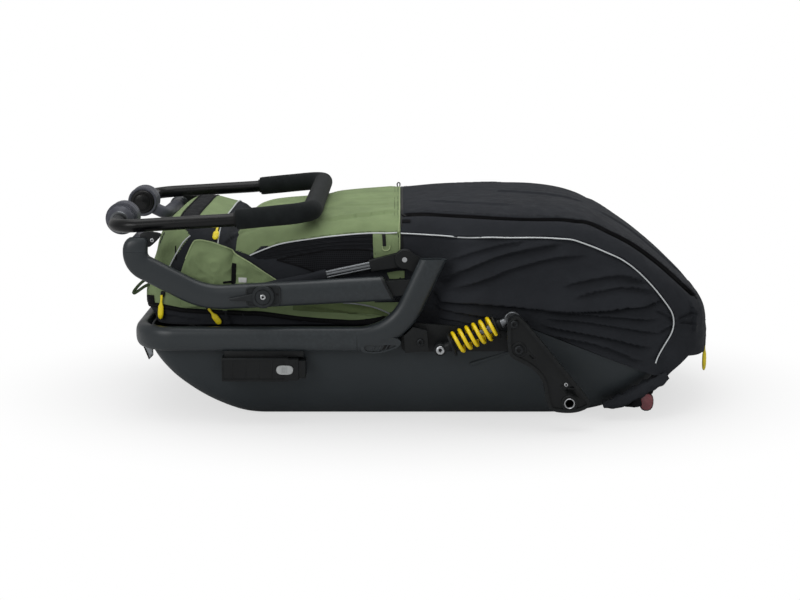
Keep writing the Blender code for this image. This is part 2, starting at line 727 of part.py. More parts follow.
def bow_bracket(side_name, side):
    """Plate on the upright's inner face that carries the bow's pin."""
    outer = FRAME_HALF - TUBE_HALF_WIDTH - GAP
    foot = corner_knee() + upright_direction() * ((HINGE_Z + 0.024 - RAIL_Z) / math.sin(UPRIGHT_ANGLE))
    outline = arc(BOW_PIVOT, KNUCKLE_RADIUS, 70, 280, 12)
    outline += [(foot.x - 0.002, foot.z - 0.012), (foot.x + 0.010, foot.z - 0.008)]
    outline += [(foot.x + 0.014, foot.z + 0.012)]
    y = side * outer
    bracket = plate("bow_bracket_" + side_name, outline, y, y - side * BOW_BRACKET_THICKNESS, black_plastic())
    pivot = bow_pivot(side)
    hole = cylinder("bracket_hole_" + side_name, pivot, AXIS_Y, -0.03, 0.03, BOW_PIN_RADIUS + GAP, None, 12)
    combine(bracket, hole, "DIFFERENCE")
    low = BOW_HALF - KNUCKLE_HALF_WIDTH
    cylinder(
        "bow_pin_" + side_name, bow_pivot(side, 0), (0, side, 0), low + GAP, outer - GAP, BOW_PIN_RADIUS,
        steel(), 12
    )


def tub_stations():
    """Heights with the insets of the front, the rear and the sides from the tub's rim."""
    return [
        (0.000, 0.165, 0.160, 0.068), (0.004, 0.146, 0.142, 0.054), (0.014, 0.124, 0.118, 0.042),
        (0.030, 0.096, 0.093, 0.030), (0.050, 0.068, 0.066, 0.019), (0.078, 0.036, 0.035, 0.009),
        (0.110, 0.010, 0.012, 0.003), (0.134, 0.000, 0.004, 0.000), (TUB_RIM_Z, 0.000, 0.000, 0.000),
    ]


def plan_ring(x_front, x_rear, half, front_radius, rear_radius, z, steps):
    """A rounded rectangle in plan, with its own radius at each end and the frame's steps in its corners."""
    ring = []
    corners = (
        (x_rear - rear_radius, half - rear_radius, rear_radius, 0),
        (x_front + front_radius, half - front_radius, front_radius, 90),
        (x_front + front_radius, front_radius - half, front_radius, 180),
        (x_rear - rear_radius, rear_radius - half, rear_radius, 270),
    )
    for x, y, radius, first in corners:
        for step in range(steps + 1):
            turn = math.radians(first + 90 * step / steps)
            ring.append(Vector((x + radius * math.cos(turn), y + radius * math.sin(turn), z)))
    return ring


def tub_half():
    return FRAME_HALF - TUBE_HALF_WIDTH - 2 * GAP


def tub_rings(inset):
    """Rings of the tub's outer skin, or of its inner skin at the wall's inset."""
    rings = []
    front = RAIL_FRONT_X + TUBE_HALF_WIDTH + 2 * GAP
    corner = FRONT_BEND_RADIUS - TUBE_HALF_WIDTH - 2 * GAP
    for z, front_inset, rear_inset, side_inset in tub_stations():
        height = z + inset * (1 - z / TUB_RIM_Z)
        ring = plan_ring(
            front + front_inset + inset, TUB_REAR_X - rear_inset - inset, tub_half() - side_inset - inset,
            corner - inset, TUB_REAR_RADIUS - inset, height, math.ceil(math.pi / 2 / ARC_STEP),
        )
        rings.append(ring)
    return rings


def floor_tub():
    dark = material("tub_anthracite", (0.021, 0.025, 0.028), 0.42)
    bm = bmesh.new()
    outside = skin(bm, tub_rings(0))
    inside = skin(bm, tub_rings(TUB_WALL), flip=True)
    bm.faces.new(outside[0][::-1])
    bm.faces.new(inside[0])
    for index in range(len(outside[-1])):
        after = (index + 1) % len(outside[-1])
        bm.faces.new([outside[-1][index], outside[-1][after], inside[-1][after], inside[-1][index]])
    tub = place_mesh("floor_tub", bm, dark)
    reach = TUB_REAR_X + 0.05 - TUB_SLOPE_START
    outline = [
        (TUB_SLOPE_START, TUB_RIM_Z), (TUB_SLOPE_START + reach, TUB_RIM_Z - TUB_SLOPE * reach),
        (TUB_SLOPE_START + reach, TUB_RIM_Z + 0.02), (TUB_SLOPE_START, TUB_RIM_Z + 0.02),
    ]
    wedge = plate("tub_rear_wedge", outline, -FRAME_HALF, FRAME_HALF, None)
    combine(tub, wedge, "DIFFERENCE")


def floor_mat():
    grey = material("mat_grey", (0.10, 0.10, 0.11), 0.9)
    rings = []
    low = TUB_WALL + GAP
    for share, extra in ((0, 0.010), (0.3, 0.004), (0.8, 0.004), (1, 0.010)):
        z = low + MAT_THICKNESS * share
        front = FRONT_X + TUBE_HALF_WIDTH + 0.165 + extra
        rear = TUB_REAR_X - 0.160 - extra
        rings.append(plan_ring(front, rear, tub_half() - 0.068 - extra, 0.06, 0.10, z, 4))
    solid_from_rings("floor_mat", rings, grey)


def bracket_inner():
    return tub_half() + 2 * GAP


def suspension_bracket(side_name, side):
    """Plate along the tub that carries the shock's front bolt and the swing arm's bolt."""
    centre = (SEAM_X, RAIL_Z + CORNER_RADIUS)
    outline = arc(centre, CORNER_RADIUS + TUBE_HALF_HEIGHT + GAP, -52, -38, 3)
    outline += [(SHOCK_FRONT[0] - 0.019, SHOCK_FRONT[1] + 0.040)]
    outline += [(ARM_PIVOT[0] - 0.049, ARM_PIVOT[1] + 0.024)]
    outline += arc(ARM_PIVOT, 0.0165, 70, -90, 8)
    outline += [(SEAM_X + 0.084, SHOCK_FRONT[1] - 0.0095), (SEAM_X + 0.0776, SHOCK_FRONT[1] - 0.003)]
    inner = side * bracket_inner()
    outer = inner + side * BRACKET_THICKNESS
    body = plate("suspension_bracket_" + side_name, outline, inner, outer, black_plastic())
    nose = arc(centre, CORNER_RADIUS + TUBE_HALF_HEIGHT + 4 * GAP, -50, -40, 3)
    nose_x = SHOCK_FRONT[0] - 0.020
    nose += [(nose_x - 0.003, 0.170), (nose_x, SHOCK_FRONT[1] - 0.004)]
    nose += [(SEAM_X + 0.084, SHOCK_FRONT[1] - 0.008)]
    block_outer = side * (FRAME_HALF + TUBE_HALF_WIDTH - 0.003)
    nose_block = plate("bracket_nose_" + side_name, nose, outer - side * 0.002, block_outer, None)
    combine(body, nose_block, "UNION")
    front = Vector((SHOCK_FRONT[0], 0, SHOCK_FRONT[1]))
    boss_end = SHOCK_Y - SHOCK_EYE_WIDTH / 2 - GAP
    boss = cylinder(
        "bracket_boss_" + side_name, front, (0, side, 0), bracket_inner() + 0.002, boss_end,
        SHOCK_BOLT_RADIUS + 0.004, None, 16,
    )
    combine(body, boss, "UNION")
    for label, point, radius in (
        ("front", SHOCK_FRONT, SHOCK_BOLT_RADIUS), ("pivot", ARM_PIVOT, ARM_BOLT_RADIUS)
    ):
        hole = cylinder(
            "bracket_" + label + "_hole_" + side_name, (point[0], side * SHOCK_Y, point[1]), AXIS_Y,
            -0.06, 0.06,
            radius + GAP, None, 16,
        )
        combine(body, hole, "DIFFERENCE")


def bolt(name, point, side, low, high, radius, head_radius, head_length, sides=12, origin=(0, 0, 0)):
    """A bolt along Y, with its head at the outer end and a hexagon socket in the head."""
    centre = Vector((point[0], 0, point[1]))
    socket = head_radius * 0.5
    profile = [
        (0, low), (radius, low), (radius, high), (head_radius, high), (head_radius, high + head_length * 0.7),
        (head_radius * 0.85, high + head_length), (socket, high + head_length),
        (socket, high + head_length * 0.4),
        (0, high + head_length * 0.4),
    ]
    return turned(name, profile, centre, (0, side, 0), steel(), sides, origin)


def swing_arm_outline():
    """The swing arm's outline, clockwise from its upper front corner, around the pivot and the axle."""
    upper = [(-0.020, 0.040), (-0.018, 0.052), (-0.006, 0.061), (0.006, 0.056)]
    rear = [(0.026, 0.016), (0.036, 0.004), (0.033, -0.008), (0.008, -0.017)]
    front = [(-0.027, -0.015), (-0.037, -0.006), (-0.042, 0.014), (-0.046, 0.038)]
    front += [(-0.056, 0.054), (-0.074, 0.068)]
    lower = [(-0.012, -0.014), (-0.019, -0.003)]
    outline = [(ARM_PIVOT[0] + x, ARM_PIVOT[1] + z) for x, z in upper]
    outline += [(ARM_AXLE[0] + x, ARM_AXLE[1] + z) for x, z in rear + front]
    outline += [(ARM_PIVOT[0] + x, ARM_PIVOT[1] + z) for x, z in lower]
    return outline


def swing_arm(side_name, side):
    origin = (ARM_PIVOT[0], side * ARM_OUTER, ARM_PIVOT[1])
    inner = side * (ARM_OUTER - ARM_THICKNESS)
    body = plate(
        "swing_arm_" + side_name, swing_arm_outline(), inner, side * ARM_OUTER, black_plastic(), origin,
        (ARM_RIM, ARM_RECESS),
    )
    pivot = (ARM_PIVOT[0], 0, ARM_PIVOT[1])
    axle = (ARM_AXLE[0], 0, ARM_AXLE[1])
    rear = (SHOCK_REAR[0], 0, SHOCK_REAR[1])
    axis = (0, side, 0)
    boss_start = bracket_inner() + BRACKET_THICKNESS + 2 * GAP
    bush_start = ARM_OUTER - AXLE_BUSH_LENGTH
    bosses = (
        ("pivot", pivot, boss_start, ARM_OUTER - 0.001, ARM_BOSS_RADIUS),
        ("axle", axle, bush_start, ARM_OUTER - 0.0005, AXLE_BUSH_OUTER + 0.005),
        ("shock", rear, SHOCK_Y + SHOCK_EYE_WIDTH / 2 + 2 * GAP, ARM_OUTER - 0.001, 0.008),
    )
    for label, point, low, high, radius in bosses:
        boss = cylinder("arm_boss_" + label + "_" + side_name, point, axis, low, high, radius, None, 16)
        combine(body, boss, "UNION")
    holes = (
        ("pivot", pivot, ARM_BOLT_RADIUS + RUNNING), ("axle", axle, AXLE_BUSH_OUTER + GAP),
        ("shock", rear, SHOCK_BOLT_RADIUS + GAP),
    )
    for label, point, radius in holes:
        low_end, high_end = FRAME_HALF - 0.03, ARM_OUTER + 0.01
        hole = cylinder(
            "arm_hole_" + label + "_" + side_name, point, axis, low_end, high_end, radius, None, 20
        )
        combine(body, hole, "DIFFERENCE")

    low = ARM_OUTER - AXLE_BUSH_LENGTH
    profile = [
        (AXLE_BUSH_OUTER, low), (AXLE_BUSH_OUTER, ARM_OUTER),
        (AXLE_BUSH_INNER, ARM_OUTER), (AXLE_BUSH_INNER, low)
    ]
    turned("axle_bush_" + side_name, profile, axle, axis, steel(), 20, origin)
    bolt(
        "arm_pivot_bolt_" + side_name, ARM_PIVOT, side, bracket_inner() + GAP, ARM_OUTER - 0.001 + GAP,
        ARM_BOLT_RADIUS, 0.0078, 0.003,
    )
    pin_start = SHOCK_Y - SHOCK_EYE_WIDTH / 2
    bolt(
        "shock_rear_pin_" + side_name, SHOCK_REAR, side, pin_start, ARM_OUTER + GAP,
        SHOCK_BOLT_RADIUS, 0.0065, 0.0025, 12, origin,
    )


def shock_axis():
    front = Vector((SHOCK_FRONT[0], 0, SHOCK_FRONT[1]))
    rear = Vector((SHOCK_REAR[0], 0, SHOCK_REAR[1]))
    return (rear - front).normalized(), (rear - front).length


def shock(side_name, side):
    """Damper body, damper rod and coil spring, between the bracket's bolt and the arm's pin."""
    along, length = shock_axis()
    front = Vector((SHOCK_FRONT[0], side * SHOCK_Y, SHOCK_FRONT[1]))
    rear = Vector((SHOCK_REAR[0], side * SHOCK_Y, SHOCK_REAR[1]))
    half = SHOCK_EYE_WIDTH / 2
    dark = material("damper_black", (0.02, 0.02, 0.022), 0.35, 0.3)
    silver = material("damper_rod_silver", (0.5, 0.5, 0.52), 0.25, 1.0)
    body_end = 0.072
    neck = SHOCK_FRONT_EYE_RADIUS - 0.0015
    seat = SPRING_START - SPRING_WIRE_RADIUS - GAP
    bore = ROD_RADIUS + RUNNING
    profile = [
        (0, neck), (DAMPER_RADIUS, neck), (DAMPER_RADIUS, seat - SEAT_THICKNESS),
        (SEAT_RADIUS, seat - SEAT_THICKNESS), (SEAT_RADIUS, seat), (DAMPER_RADIUS, seat),
        (DAMPER_RADIUS, body_end), (bore, body_end), (bore, seat + 0.004), (0, seat + 0.004),
    ]
    body = turned("damper_body_" + side_name, profile, front, along, dark, 16, front)
    eye = cylinder("body_eye_" + side_name, front, AXIS_Y, -half, half, SHOCK_FRONT_EYE_RADIUS, None, 16)
    combine(body, eye, "UNION")
    hole_radius = SHOCK_BOLT_RADIUS + RUNNING
    hole = cylinder("body_eye_hole_" + side_name, front, AXIS_Y, -0.02, 0.02, hole_radius, None, 16)
    combine(body, hole, "DIFFERENCE")

    seat = SPRING_END + SPRING_WIRE_RADIUS + GAP
    rod_start = 0.046
    neck = length - SHOCK_REAR_EYE_RADIUS + 0.004
    profile = [
        (0, rod_start), (ROD_RADIUS, rod_start), (ROD_RADIUS, seat), (SEAT_RADIUS, seat),
        (SEAT_RADIUS, seat + SEAT_THICKNESS), (DAMPER_RADIUS, seat + SEAT_THICKNESS), (DAMPER_RADIUS, neck),
        (0, neck),
    ]
    piston = turned("damper_rod_" + side_name, profile, front, along, silver, 16, front)
    eye = cylinder("rod_eye_" + side_name, rear, AXIS_Y, -half, half, SHOCK_REAR_EYE_RADIUS, None, 16)
    combine(piston, eye, "UNION")
    hole = cylinder(
        "rod_eye_hole_" + side_name, rear, AXIS_Y, -0.02, 0.02, SHOCK_BOLT_RADIUS + REAR_PIN_CLEARANCE,
        None, 16
    )
    combine(piston, hole, "DIFFERENCE")
    bolt(
        "shock_front_bolt_" + side_name, SHOCK_FRONT, side, bracket_inner() + GAP,
        SHOCK_Y + SHOCK_EYE_WIDTH / 2 + GAP, SHOCK_BOLT_RADIUS, 0.0078, 0.0035,
    )


def spring_points():
    """Points of the coil about its own axis, along +X."""
    count = round(SPRING_TURNS * SPRING_POINTS_A_TURN)
    points = []
    for step in range(count + 1):
        share = step / count
        turn = 2 * math.pi * SPRING_TURNS * share
        distance = SPRING_START + (SPRING_END - SPRING_START) * share
        across = SPRING_MEAN_RADIUS * math.cos(turn)
        upward = SPRING_MEAN_RADIUS * math.sin(turn)
        points.append(Vector((distance, across, upward)))
    return points


def least_gap(points, skip):
    """Least distance between the wire's surfaces, on points at least the given steps apart."""
    least = 1.0
    for first, point in enumerate(points):
        for other in points[first + skip:]:
            least = min(least, (point - other).length)
    return least - 2 * SPRING_WIRE_RADIUS


def coil_spring(side_name, side):
    along, _ = shock_axis()
    turn = math.atan2(along.z, along.x)
    points = spring_points()
    curve = bpy.data.curves.new("coil_spring_" + side_name, "CURVE")
    curve.dimensions = "3D"
    curve.bevel_depth = SPRING_WIRE_RADIUS
    curve.bevel_resolution = 1
    curve.use_fill_caps = True
    spline = curve.splines.new("POLY")
    spline.points.add(len(points) - 1)
    for target, point in zip(spline.points, points):
        target.co = (*point, 1)
    spring = bpy.data.objects.new("coil_spring_" + side_name, curve)
    spring.location = (SHOCK_FRONT[0], side * SHOCK_Y, SHOCK_FRONT[1])
    spring.rotation_euler = (0, -turn, 0)
    curve.materials.append(material("spring_yellow", (0.90, 0.66, 0.005), 0.32))
    bpy.context.scene.collection.objects.link(spring)
    if side < 0:
        gap = least_gap(points, SPRING_POINTS_A_TURN // 2)
        print("coil spring's least gap to itself, mm:", round(gap * 1000, 2))


def tow_socket():
    """Channel under the left rail, open at its front, with a solid block behind for the button."""
    inner_y = -(tub_half() + 2 * GAP)
    outer_y = -SOCKET_OUTER
    low = (SOCKET_FRONT_X, outer_y, SOCKET_LOW_Z)
    high = (SOCKET_REAR_X, inner_y, SOCKET_HIGH_Z)
    socket = block("tow_socket", low, high, black_plastic())
    inside_rear = SOCKET_REAR_X - SOCKET_BLOCK_LENGTH
    space = block(
        "socket_space", (SOCKET_FRONT_X - 0.02, outer_y + SOCKET_WALL, SOCKET_LOW_Z + SOCKET_WALL),
        (inside_rear, inner_y - SOCKET_WALL, SOCKET_HIGH_Z - SOCKET_WALL), None,
    )
    combine(socket, space, "DIFFERENCE")
    rail_under = RAIL_Z - TUBE_HALF_HEIGHT - GAP
    web = block(
        "socket_web", (SOCKET_FRONT_X + 0.004, -FRAME_HALF - 0.004, SOCKET_HIGH_Z - 0.001),
        (SOCKET_REAR_X - 0.004, -FRAME_HALF + 0.004, rail_under), None,
    )
    combine(socket, web, "UNION")
    x, z = TOW_BUTTON_CENTRE
    hole_outline = [
        (x + a, z + b)
        for a, b in oval(TOW_BUTTON_HALF_LENGTH + RUNNING, TOW_BUTTON_HALF_HEIGHT + RUNNING, 20, 3)
    ]
    depth = TOW_BUTTON_THICKNESS - TOW_BUTTON_PROUD + TOW_BUTTON_TRAVEL + GAP
    pocket = plate("socket_button_pocket", hole_outline, outer_y - 0.01, outer_y + depth, None)
    combine(socket, pocket, "DIFFERENCE")
    outline = [(x + a, z + b) for a, b in oval(TOW_BUTTON_HALF_LENGTH, TOW_BUTTON_HALF_HEIGHT, 20, 3)]
    face = outer_y - TOW_BUTTON_PROUD
    grey = material("button_grey", (0.36, 0.37, 0.37), 0.5)
    plate("tow_button", outline, face + TOW_BUTTON_THICKNESS, face, grey, (x, face, z), (0.002, 0.0008))


def front_tab():
    """Small reflective tab that hangs under the front bend of the rail."""
    top = RAIL_Z - TUBE_HALF_HEIGHT - GAP
    x = FRONT_X + 0.014
    y = -(FRAME_HALF - 0.045)
    outline = [(x - 0.022, top), (x - 0.004, top), (x - 0.004, top - 0.018), (x - 0.012, top - 0.026)]
    tab = material("reflective_tab", (0.30, 0.31, 0.32), 0.4)
    plate("front_tab", outline, y - 0.0015, y + 0.0015, tab)


def rear_reflector():
    """Reflector with a short strap, hung from the lower edge of the rear cover's left side."""
    lens = material("reflector_red", (0.22, 0.03, 0.035), 0.25)
    y = -(FRAME_HALF - TUBE_HALF_WIDTH - 0.0075)
    rear = ROOF_COVER_END + 0.460
    front = rear - 0.012
    lens_front = rear - 0.032
    lens_rear = lens_front + 0.021
    outline = [
        (front, tub_rim(front) + 2 * COVER_SEAT - GAP), (lens_front, 0.051), (lens_front - 0.001, 0.020),
        (lens_rear, 0.018), (lens_rear + 0.001, 0.048), (rear, tub_rim(rear) + 2 * COVER_SEAT - GAP),
    ]
    plate("rear_reflector", outline, y - 0.0015, y + 0.0015, lens)


def cover_ring(x, half, low, high, power):
    """A cross section of a cover: square at the bottom and rounded over the top."""
    middle = low + (high - low) * 0.5
    ring = []
    for step in range(COVER_STEPS + 1):
        turn = math.pi * step / COVER_STEPS
        a = math.cos(turn)
        b = math.sin(turn)
        scale = (abs(a) ** power + abs(b) ** power) ** (-1 / power)
        ring.append(Vector((x, half * a * scale, middle + (high - middle) * b * scale)))
    ring += [Vector((x, half * share, low)) for share in (-1, -0.4, 0.4, 1)]
    return ring


def cover_side(stations, x, z):
    """How far out the cover's side stands at a place along it and a height."""
    before, after = [pair for pair in zip(stations, stations[1:]) if pair[0][0] <= x <= pair[1][0]][0]
    share = (x - before[0]) / (after[0] - before[0])
    rings = [cover_ring(*station)[:COVER_STEPS // 2 + 1] for station in (before, after)]
    ring = [first.lerp(second, share) for first, second in zip(*rings)]
    for low, high in zip(ring, ring[1:]):
        if low.z <= z <= high.z:
            return low.y + (high.y - low.y) * (z - low.z) / (high.z - low.z)
    return ring[0].y


def cover(name, stations, finish, closed_front, closed_rear, open_bottom=0.02):
    """A cover lofted along X, hollow and open at its bottom, and at each end that joins its neighbour."""
    body = solid_from_rings(name, [cover_ring(*station) for station in stations], finish)
    hollow = []
    for x, half, low, high, power in stations:
        hollow.append([x, half - COVER_WALL, low - open_bottom, high - COVER_WALL, power])
    hollow[0][0] += COVER_WALL if closed_front else -COVER_WALL
    hollow[-1][0] += -COVER_WALL if closed_rear else COVER_WALL
    space = solid_from_rings(name + "_space", [cover_ring(*station) for station in hollow], None)
    combine(body, space, "DIFFERENCE")
    return body


def cover_folds(body, stations, ends):
    """Soft folds of slack cloth, as low ridges along both sides of a cover."""
    for index, (start, end) in enumerate(ends):
        for side_name, side in SIDES:
            rings = []
            for share in (0, 0.3, 0.7, 1):
                x = start[0] + (end[0] - start[0]) * share
                z = start[1] + (end[1] - start[1]) * share
                radius = FOLD_RADIUS * (0.25 + math.sin(math.pi * share))
                y = side * (cover_side(stations, x, z) - FOLD_SINK * radius)
                ring = [Vector((x, y + radius * b * 0.6, z + radius * a)) for a, b in circle(1, 6)]
                rings.append(ring)
            ridge = solid_from_rings("cover_fold_%s_%d" % (side_name, index), rings, None)
            combine(body, ridge, "UNION")


def tub_rim(x):
    return TUB_RIM_Z - max(0, x - TUB_SLOPE_START) * TUB_SLOPE


def clear_of_bars(body, label):
    """Cut sleeves for the bow and the upper cross tube, which the cover is wrapped round."""
    section = oval(BOW_HALF_HEIGHT + 3 * GAP, BOW_HALF_WIDTH + 3 * GAP, 12, 3)
    bow = rod("bow_space_" + label, bow_path(), section, AXIS_Z, None)
    combine(body, bow, "DIFFERENCE")
    centre = (FRONT_X + CROSS_TUBE_OFFSET, 0, CROSS_TUBE_Z)
    bar = cylinder(
        "cross_tube_space_" + label, centre, AXIS_Y, -FRAME_HALF, FRAME_HALF, CROSS_TUBE_RADIUS + 3 * GAP,
        None, 12
    )
    combine(body, bar, "DIFFERENCE")


def front_stations():
    """Cross sections of the front cover: place along X, half width, low and high edge, and roundness."""
    low = TUB_RIM_Z + COVER_SEAT
    front = RAIL_FRONT_X + TUBE_HALF_WIDTH + 2 * GAP
    return [
        (front + 0.001, COVER_HALF - 0.055, low, 0.290, 4),
        (front + 0.012, COVER_HALF - 0.022, low, 0.328, 4),
        (front + 0.032, COVER_HALF - 0.006, low, 0.350, 4), (front + 0.060, COVER_HALF, low, 0.356, 4.5),
        (front + 0.100, COVER_HALF, low, 0.345, 4.5), (FRONT_COVER_END - GAP, COVER_HALF, low, 0.334, 4.5),
    ]


def roof_stations():
    low = TUB_RIM_Z + COVER_SEAT
    return [
        (FRONT_COVER_END, COVER_HALF - 0.006, low, 0.322, 3.5),
        (FRONT_COVER_END + 0.020, COVER_HALF, low, 0.339, 4),
        (FRONT_COVER_END + 0.052, COVER_HALF, low, 0.348, 4.5),
        (ROOF_COVER_END - 0.155, COVER_HALF, low, 0.351, 5),
        (ROOF_COVER_END - 0.105, COVER_HALF, low, 0.358, 5),
        (ROOF_COVER_END - GAP, COVER_HALF, low, 0.366, 5),
    ]


def rear_stations():
    side = FRAME_HALF - TUBE_HALF_WIDTH
    shape = [
        (0, COVER_HALF, 0.366, 5), (0.065, COVER_HALF, 0.375, 5), (0.110, side, 0.378, 4.5),
        (0.200, side, 0.379, 4.5), (0.270, side, 0.377, 4.5),
        (0.325, side, 0.369, 4.2), (0.375, side, 0.350, 4),
        (0.435, side - 0.004, 0.311, 3.6), (0.467, side - 0.009, 0.287, 3.45),
        (0.480, side - 0.012, 0.277, 3.4),
        (0.515, side - 0.032, 0.246, 3.2), (0.545, side - 0.075, 0.214, 3.1),
        (0.568, side - 0.165, 0.184, 3), (REAR_COVER_END - ROOF_COVER_END, side - 0.230, 0.140, 3),
    ]
    stations = []
    for distance, half, high, power in shape:
        x = ROOF_COVER_END + distance
        stations.append((x, half, max(tub_rim(x) + 2 * COVER_SEAT, REAR_COVER_LOW), high, power))
    slope_start = list(stations[2])
    slope_start[0] = TUB_SLOPE_START
    slope_start[2] = tub_rim(TUB_SLOPE_START) + 2 * COVER_SEAT
    stations.append(tuple(slope_start))
    stations.sort()
    return stations


def covers():
    green = material("green_fabric", (0.24, 0.33, 0.14), 0.9)
    black = material("black_fabric", (0.018, 0.018, 0.020), 0.85)
    front = cover("front_cover", front_stations(), green, True, False)
    clear_of_bars(front, "front")
    cover("roof_cover", roof_stations(), green, False, False)
    rear = cover("rear_cover", rear_stations(), black, False, True)
    start = ROOF_COVER_END + 0.205
    folds = [
        ((start + 0.010, 0.222), (start + 0.230, 0.244)), ((start + 0.020, 0.196), (start + 0.200, 0.176)),
        ((start - 0.010, 0.250), (start + 0.120, 0.300)),
    ]
    cover_folds(rear, rear_stations(), folds)


def zip_pull(name, top, end, normal, lift=0.0):
    """A flat cord pull on a cover, between two points of its surface."""
    top = Vector(top)
    along = (Vector(end) - top).normalized()
    across = along.cross(Vector(normal)).normalized()
    outward = across.cross(along)
    if outward.dot(Vector(normal)) < 0:
        outward.negate()
    base = top + outward * (GAP + lift)
    rings = []
    for height in (0, PULL_THICKNESS):
        ring = []
        for share, edge in ((0, -1), (0, 1), (1, 1), (1, -1)):
            point = base + along * (share * (Vector(end) - top).length) + across * (edge * PULL_WIDTH / 2)
            ring.append(point + outward * height)
        rings.append(ring)
    return solid_from_rings(name, rings, yellow_pull(), top)


def side_pull(name, stations, x, z, end_x, end_z):
    """A pull on a cover's left side, lying on the surface between two heights."""
    points = []
    for shift in (0, -PULL_WIDTH / 2, PULL_WIDTH / 2):
        for step in range(PULL_STEPS + 1):
            share = step / PULL_STEPS
            here = x + (end_x - x) * share + shift
            height = z + (end_z - z) * share
            points.append(Vector((here, -cover_side(stations, here, height), height)))
    top, end = points[0], points[PULL_STEPS]
    ahead = Vector((x + 0.004, -cover_side(stations, x + 0.004, z), z))
    normal = (end - top).cross(ahead - top).normalized()
    if normal.y > 0:
        normal.negate()
    bulge = max((point - top).dot(normal) for point in points)
    zip_pull(name, top, end, normal, bulge)


def zip_pulls():
    front = FRONT_X + 0.030
    side_pull("zip_pull_front", front_stations(), front, 0.225, front - 0.001, 0.181)
    side_x = FRONT_COVER_END - 0.021
    side_pull("zip_pull_side", front_stations(), side_x - 0.022, 0.198, side_x - 0.002, 0.175)
    side_pull("zip_pull_top", front_stations(), side_x - 0.006, 0.3165, side_x - 0.006, 0.2985)
    rear = REAR_COVER_END
    zip_pull("zip_pull_rear", (rear, 0, 0.090), (rear, 0, 0.056), AXIS_X)


def weld_doubles():
    """Merge points that several cuts of one shape left a hair apart."""
    for obj in bpy.data.objects:
        if obj.modifiers and not obj.hide_render:
            weld = obj.modifiers.new("weld", "WELD")
            weld.merge_threshold = 0.00002


def build():
    clear_scene()
    floor_tub()
    floor_mat()
    lower_frame()
    upper_cross_tube()
    handle()
    cabin_bow()
    tow_socket()
    front_tab()
    rear_reflector()
    covers()
    zip_pulls()
    for side_name, side in SIDES:
        frame_corner(side_name, side)
        hinge_pin(side_name, side)
        upper_tube(side_name, side)
        hinge_arm(side_name, side)
        latch(side_name, side)
        hub_bracket(side_name, side)
        hub_button(side_name, side)
        hub_shell(side_name, side)
        bow_knuckle(side_name, side)
        bow_bracket(side_name, side)
        suspension_bracket(side_name, side)
        swing_arm(side_name, side)
        shock(side_name, side)
        coil_spring(side_name, side)
    weld_doubles()


build()
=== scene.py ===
"""Looks of the folded dog bike trailer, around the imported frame. Metres, front at -X, left side at -Y."""
import json
import math

import bmesh
import bpy
import numpy as np
from mathutils import Matrix, Vector, noise
from mathutils.bvhtree import BVHTree

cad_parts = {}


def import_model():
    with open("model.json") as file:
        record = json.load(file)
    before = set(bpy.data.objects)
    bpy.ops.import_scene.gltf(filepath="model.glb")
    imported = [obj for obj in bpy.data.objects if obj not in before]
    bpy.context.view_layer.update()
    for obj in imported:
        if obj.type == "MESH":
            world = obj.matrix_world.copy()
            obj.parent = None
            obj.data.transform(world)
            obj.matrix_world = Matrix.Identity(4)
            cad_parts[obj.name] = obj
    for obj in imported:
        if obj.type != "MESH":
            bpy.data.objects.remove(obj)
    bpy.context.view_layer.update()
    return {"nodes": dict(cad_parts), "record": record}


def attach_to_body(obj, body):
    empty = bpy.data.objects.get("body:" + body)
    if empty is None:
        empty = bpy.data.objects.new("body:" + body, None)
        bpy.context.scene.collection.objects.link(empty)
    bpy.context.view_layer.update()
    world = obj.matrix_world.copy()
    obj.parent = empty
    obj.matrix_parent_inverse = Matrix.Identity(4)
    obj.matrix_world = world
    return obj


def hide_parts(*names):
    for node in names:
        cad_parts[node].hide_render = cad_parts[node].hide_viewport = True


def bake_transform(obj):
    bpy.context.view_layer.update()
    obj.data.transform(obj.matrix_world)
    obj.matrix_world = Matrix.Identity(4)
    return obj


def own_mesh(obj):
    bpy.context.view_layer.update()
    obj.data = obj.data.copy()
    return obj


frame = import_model()
NODES = frame["nodes"]
BODY_OF = {node: body for body, nodes in frame["record"]["behaviour"]["bodies"].items() for node in nodes}
SIDES = (("left", -1), ("right", 1))
AXIS_X, AXIS_Y, AXIS_Z = Vector((1, 0, 0)), Vector((0, 1, 0)), Vector((0, 0, 1))

# The photograph's camera: place, pitch and focal length in pixels of an 800 by 600 picture
CAMERA_AT = Vector((-0.027, -3.0255, 0.7448))
CAMERA_PITCH = math.radians(10.7925)
FOCAL = 1600

# Sizes repeated from the part's source
FRAME_HALF, TUBE_W, TUBE_H, TUBE_POWER = 0.285, 0.014, 0.0215, 2.6
FRONT_X, RAIL_FRONT_X, RAIL_Z, FRONT_BEND, SEAM_X = -0.477, -0.484, 0.1535, 0.062, -0.102
CORNER_RADIUS, UPRIGHT_ANGLE, HINGE_Z, UPRIGHT_TOP = 0.1045, math.radians(65), 0.246, 0.2945
FOLD_ANGLE, SEAM_GAP = math.radians(118), 0.0004
HUB = Vector((-0.533, 0, 0.3455))
HUB_RADIUS, HUB_PLANE, HUB_INNER, HUB_OUTER = 0.029, 0.130, 0.100, 0.168
HANDLE_HALF, HANDLE_R, FOAM_R, HANDLE_KNEE, HANDLE_REACH = 0.250, 0.0117, 0.018, 0.208, 0.351
BOW_PIVOT, BOW_SLOPE, BOW_HALF = Vector((-0.019, 0, 0.291)), math.radians(12), 0.2545
ARM_PIVOT, ARM_AXLE, ARM_OUTER = (0.177, 0.146), (0.266, 0.051), 0.345
SHOCK_FRONT, SHOCK_REAR, SHOCK_Y = (0.043, 0.138), (0.168, 0.191), 0.3012


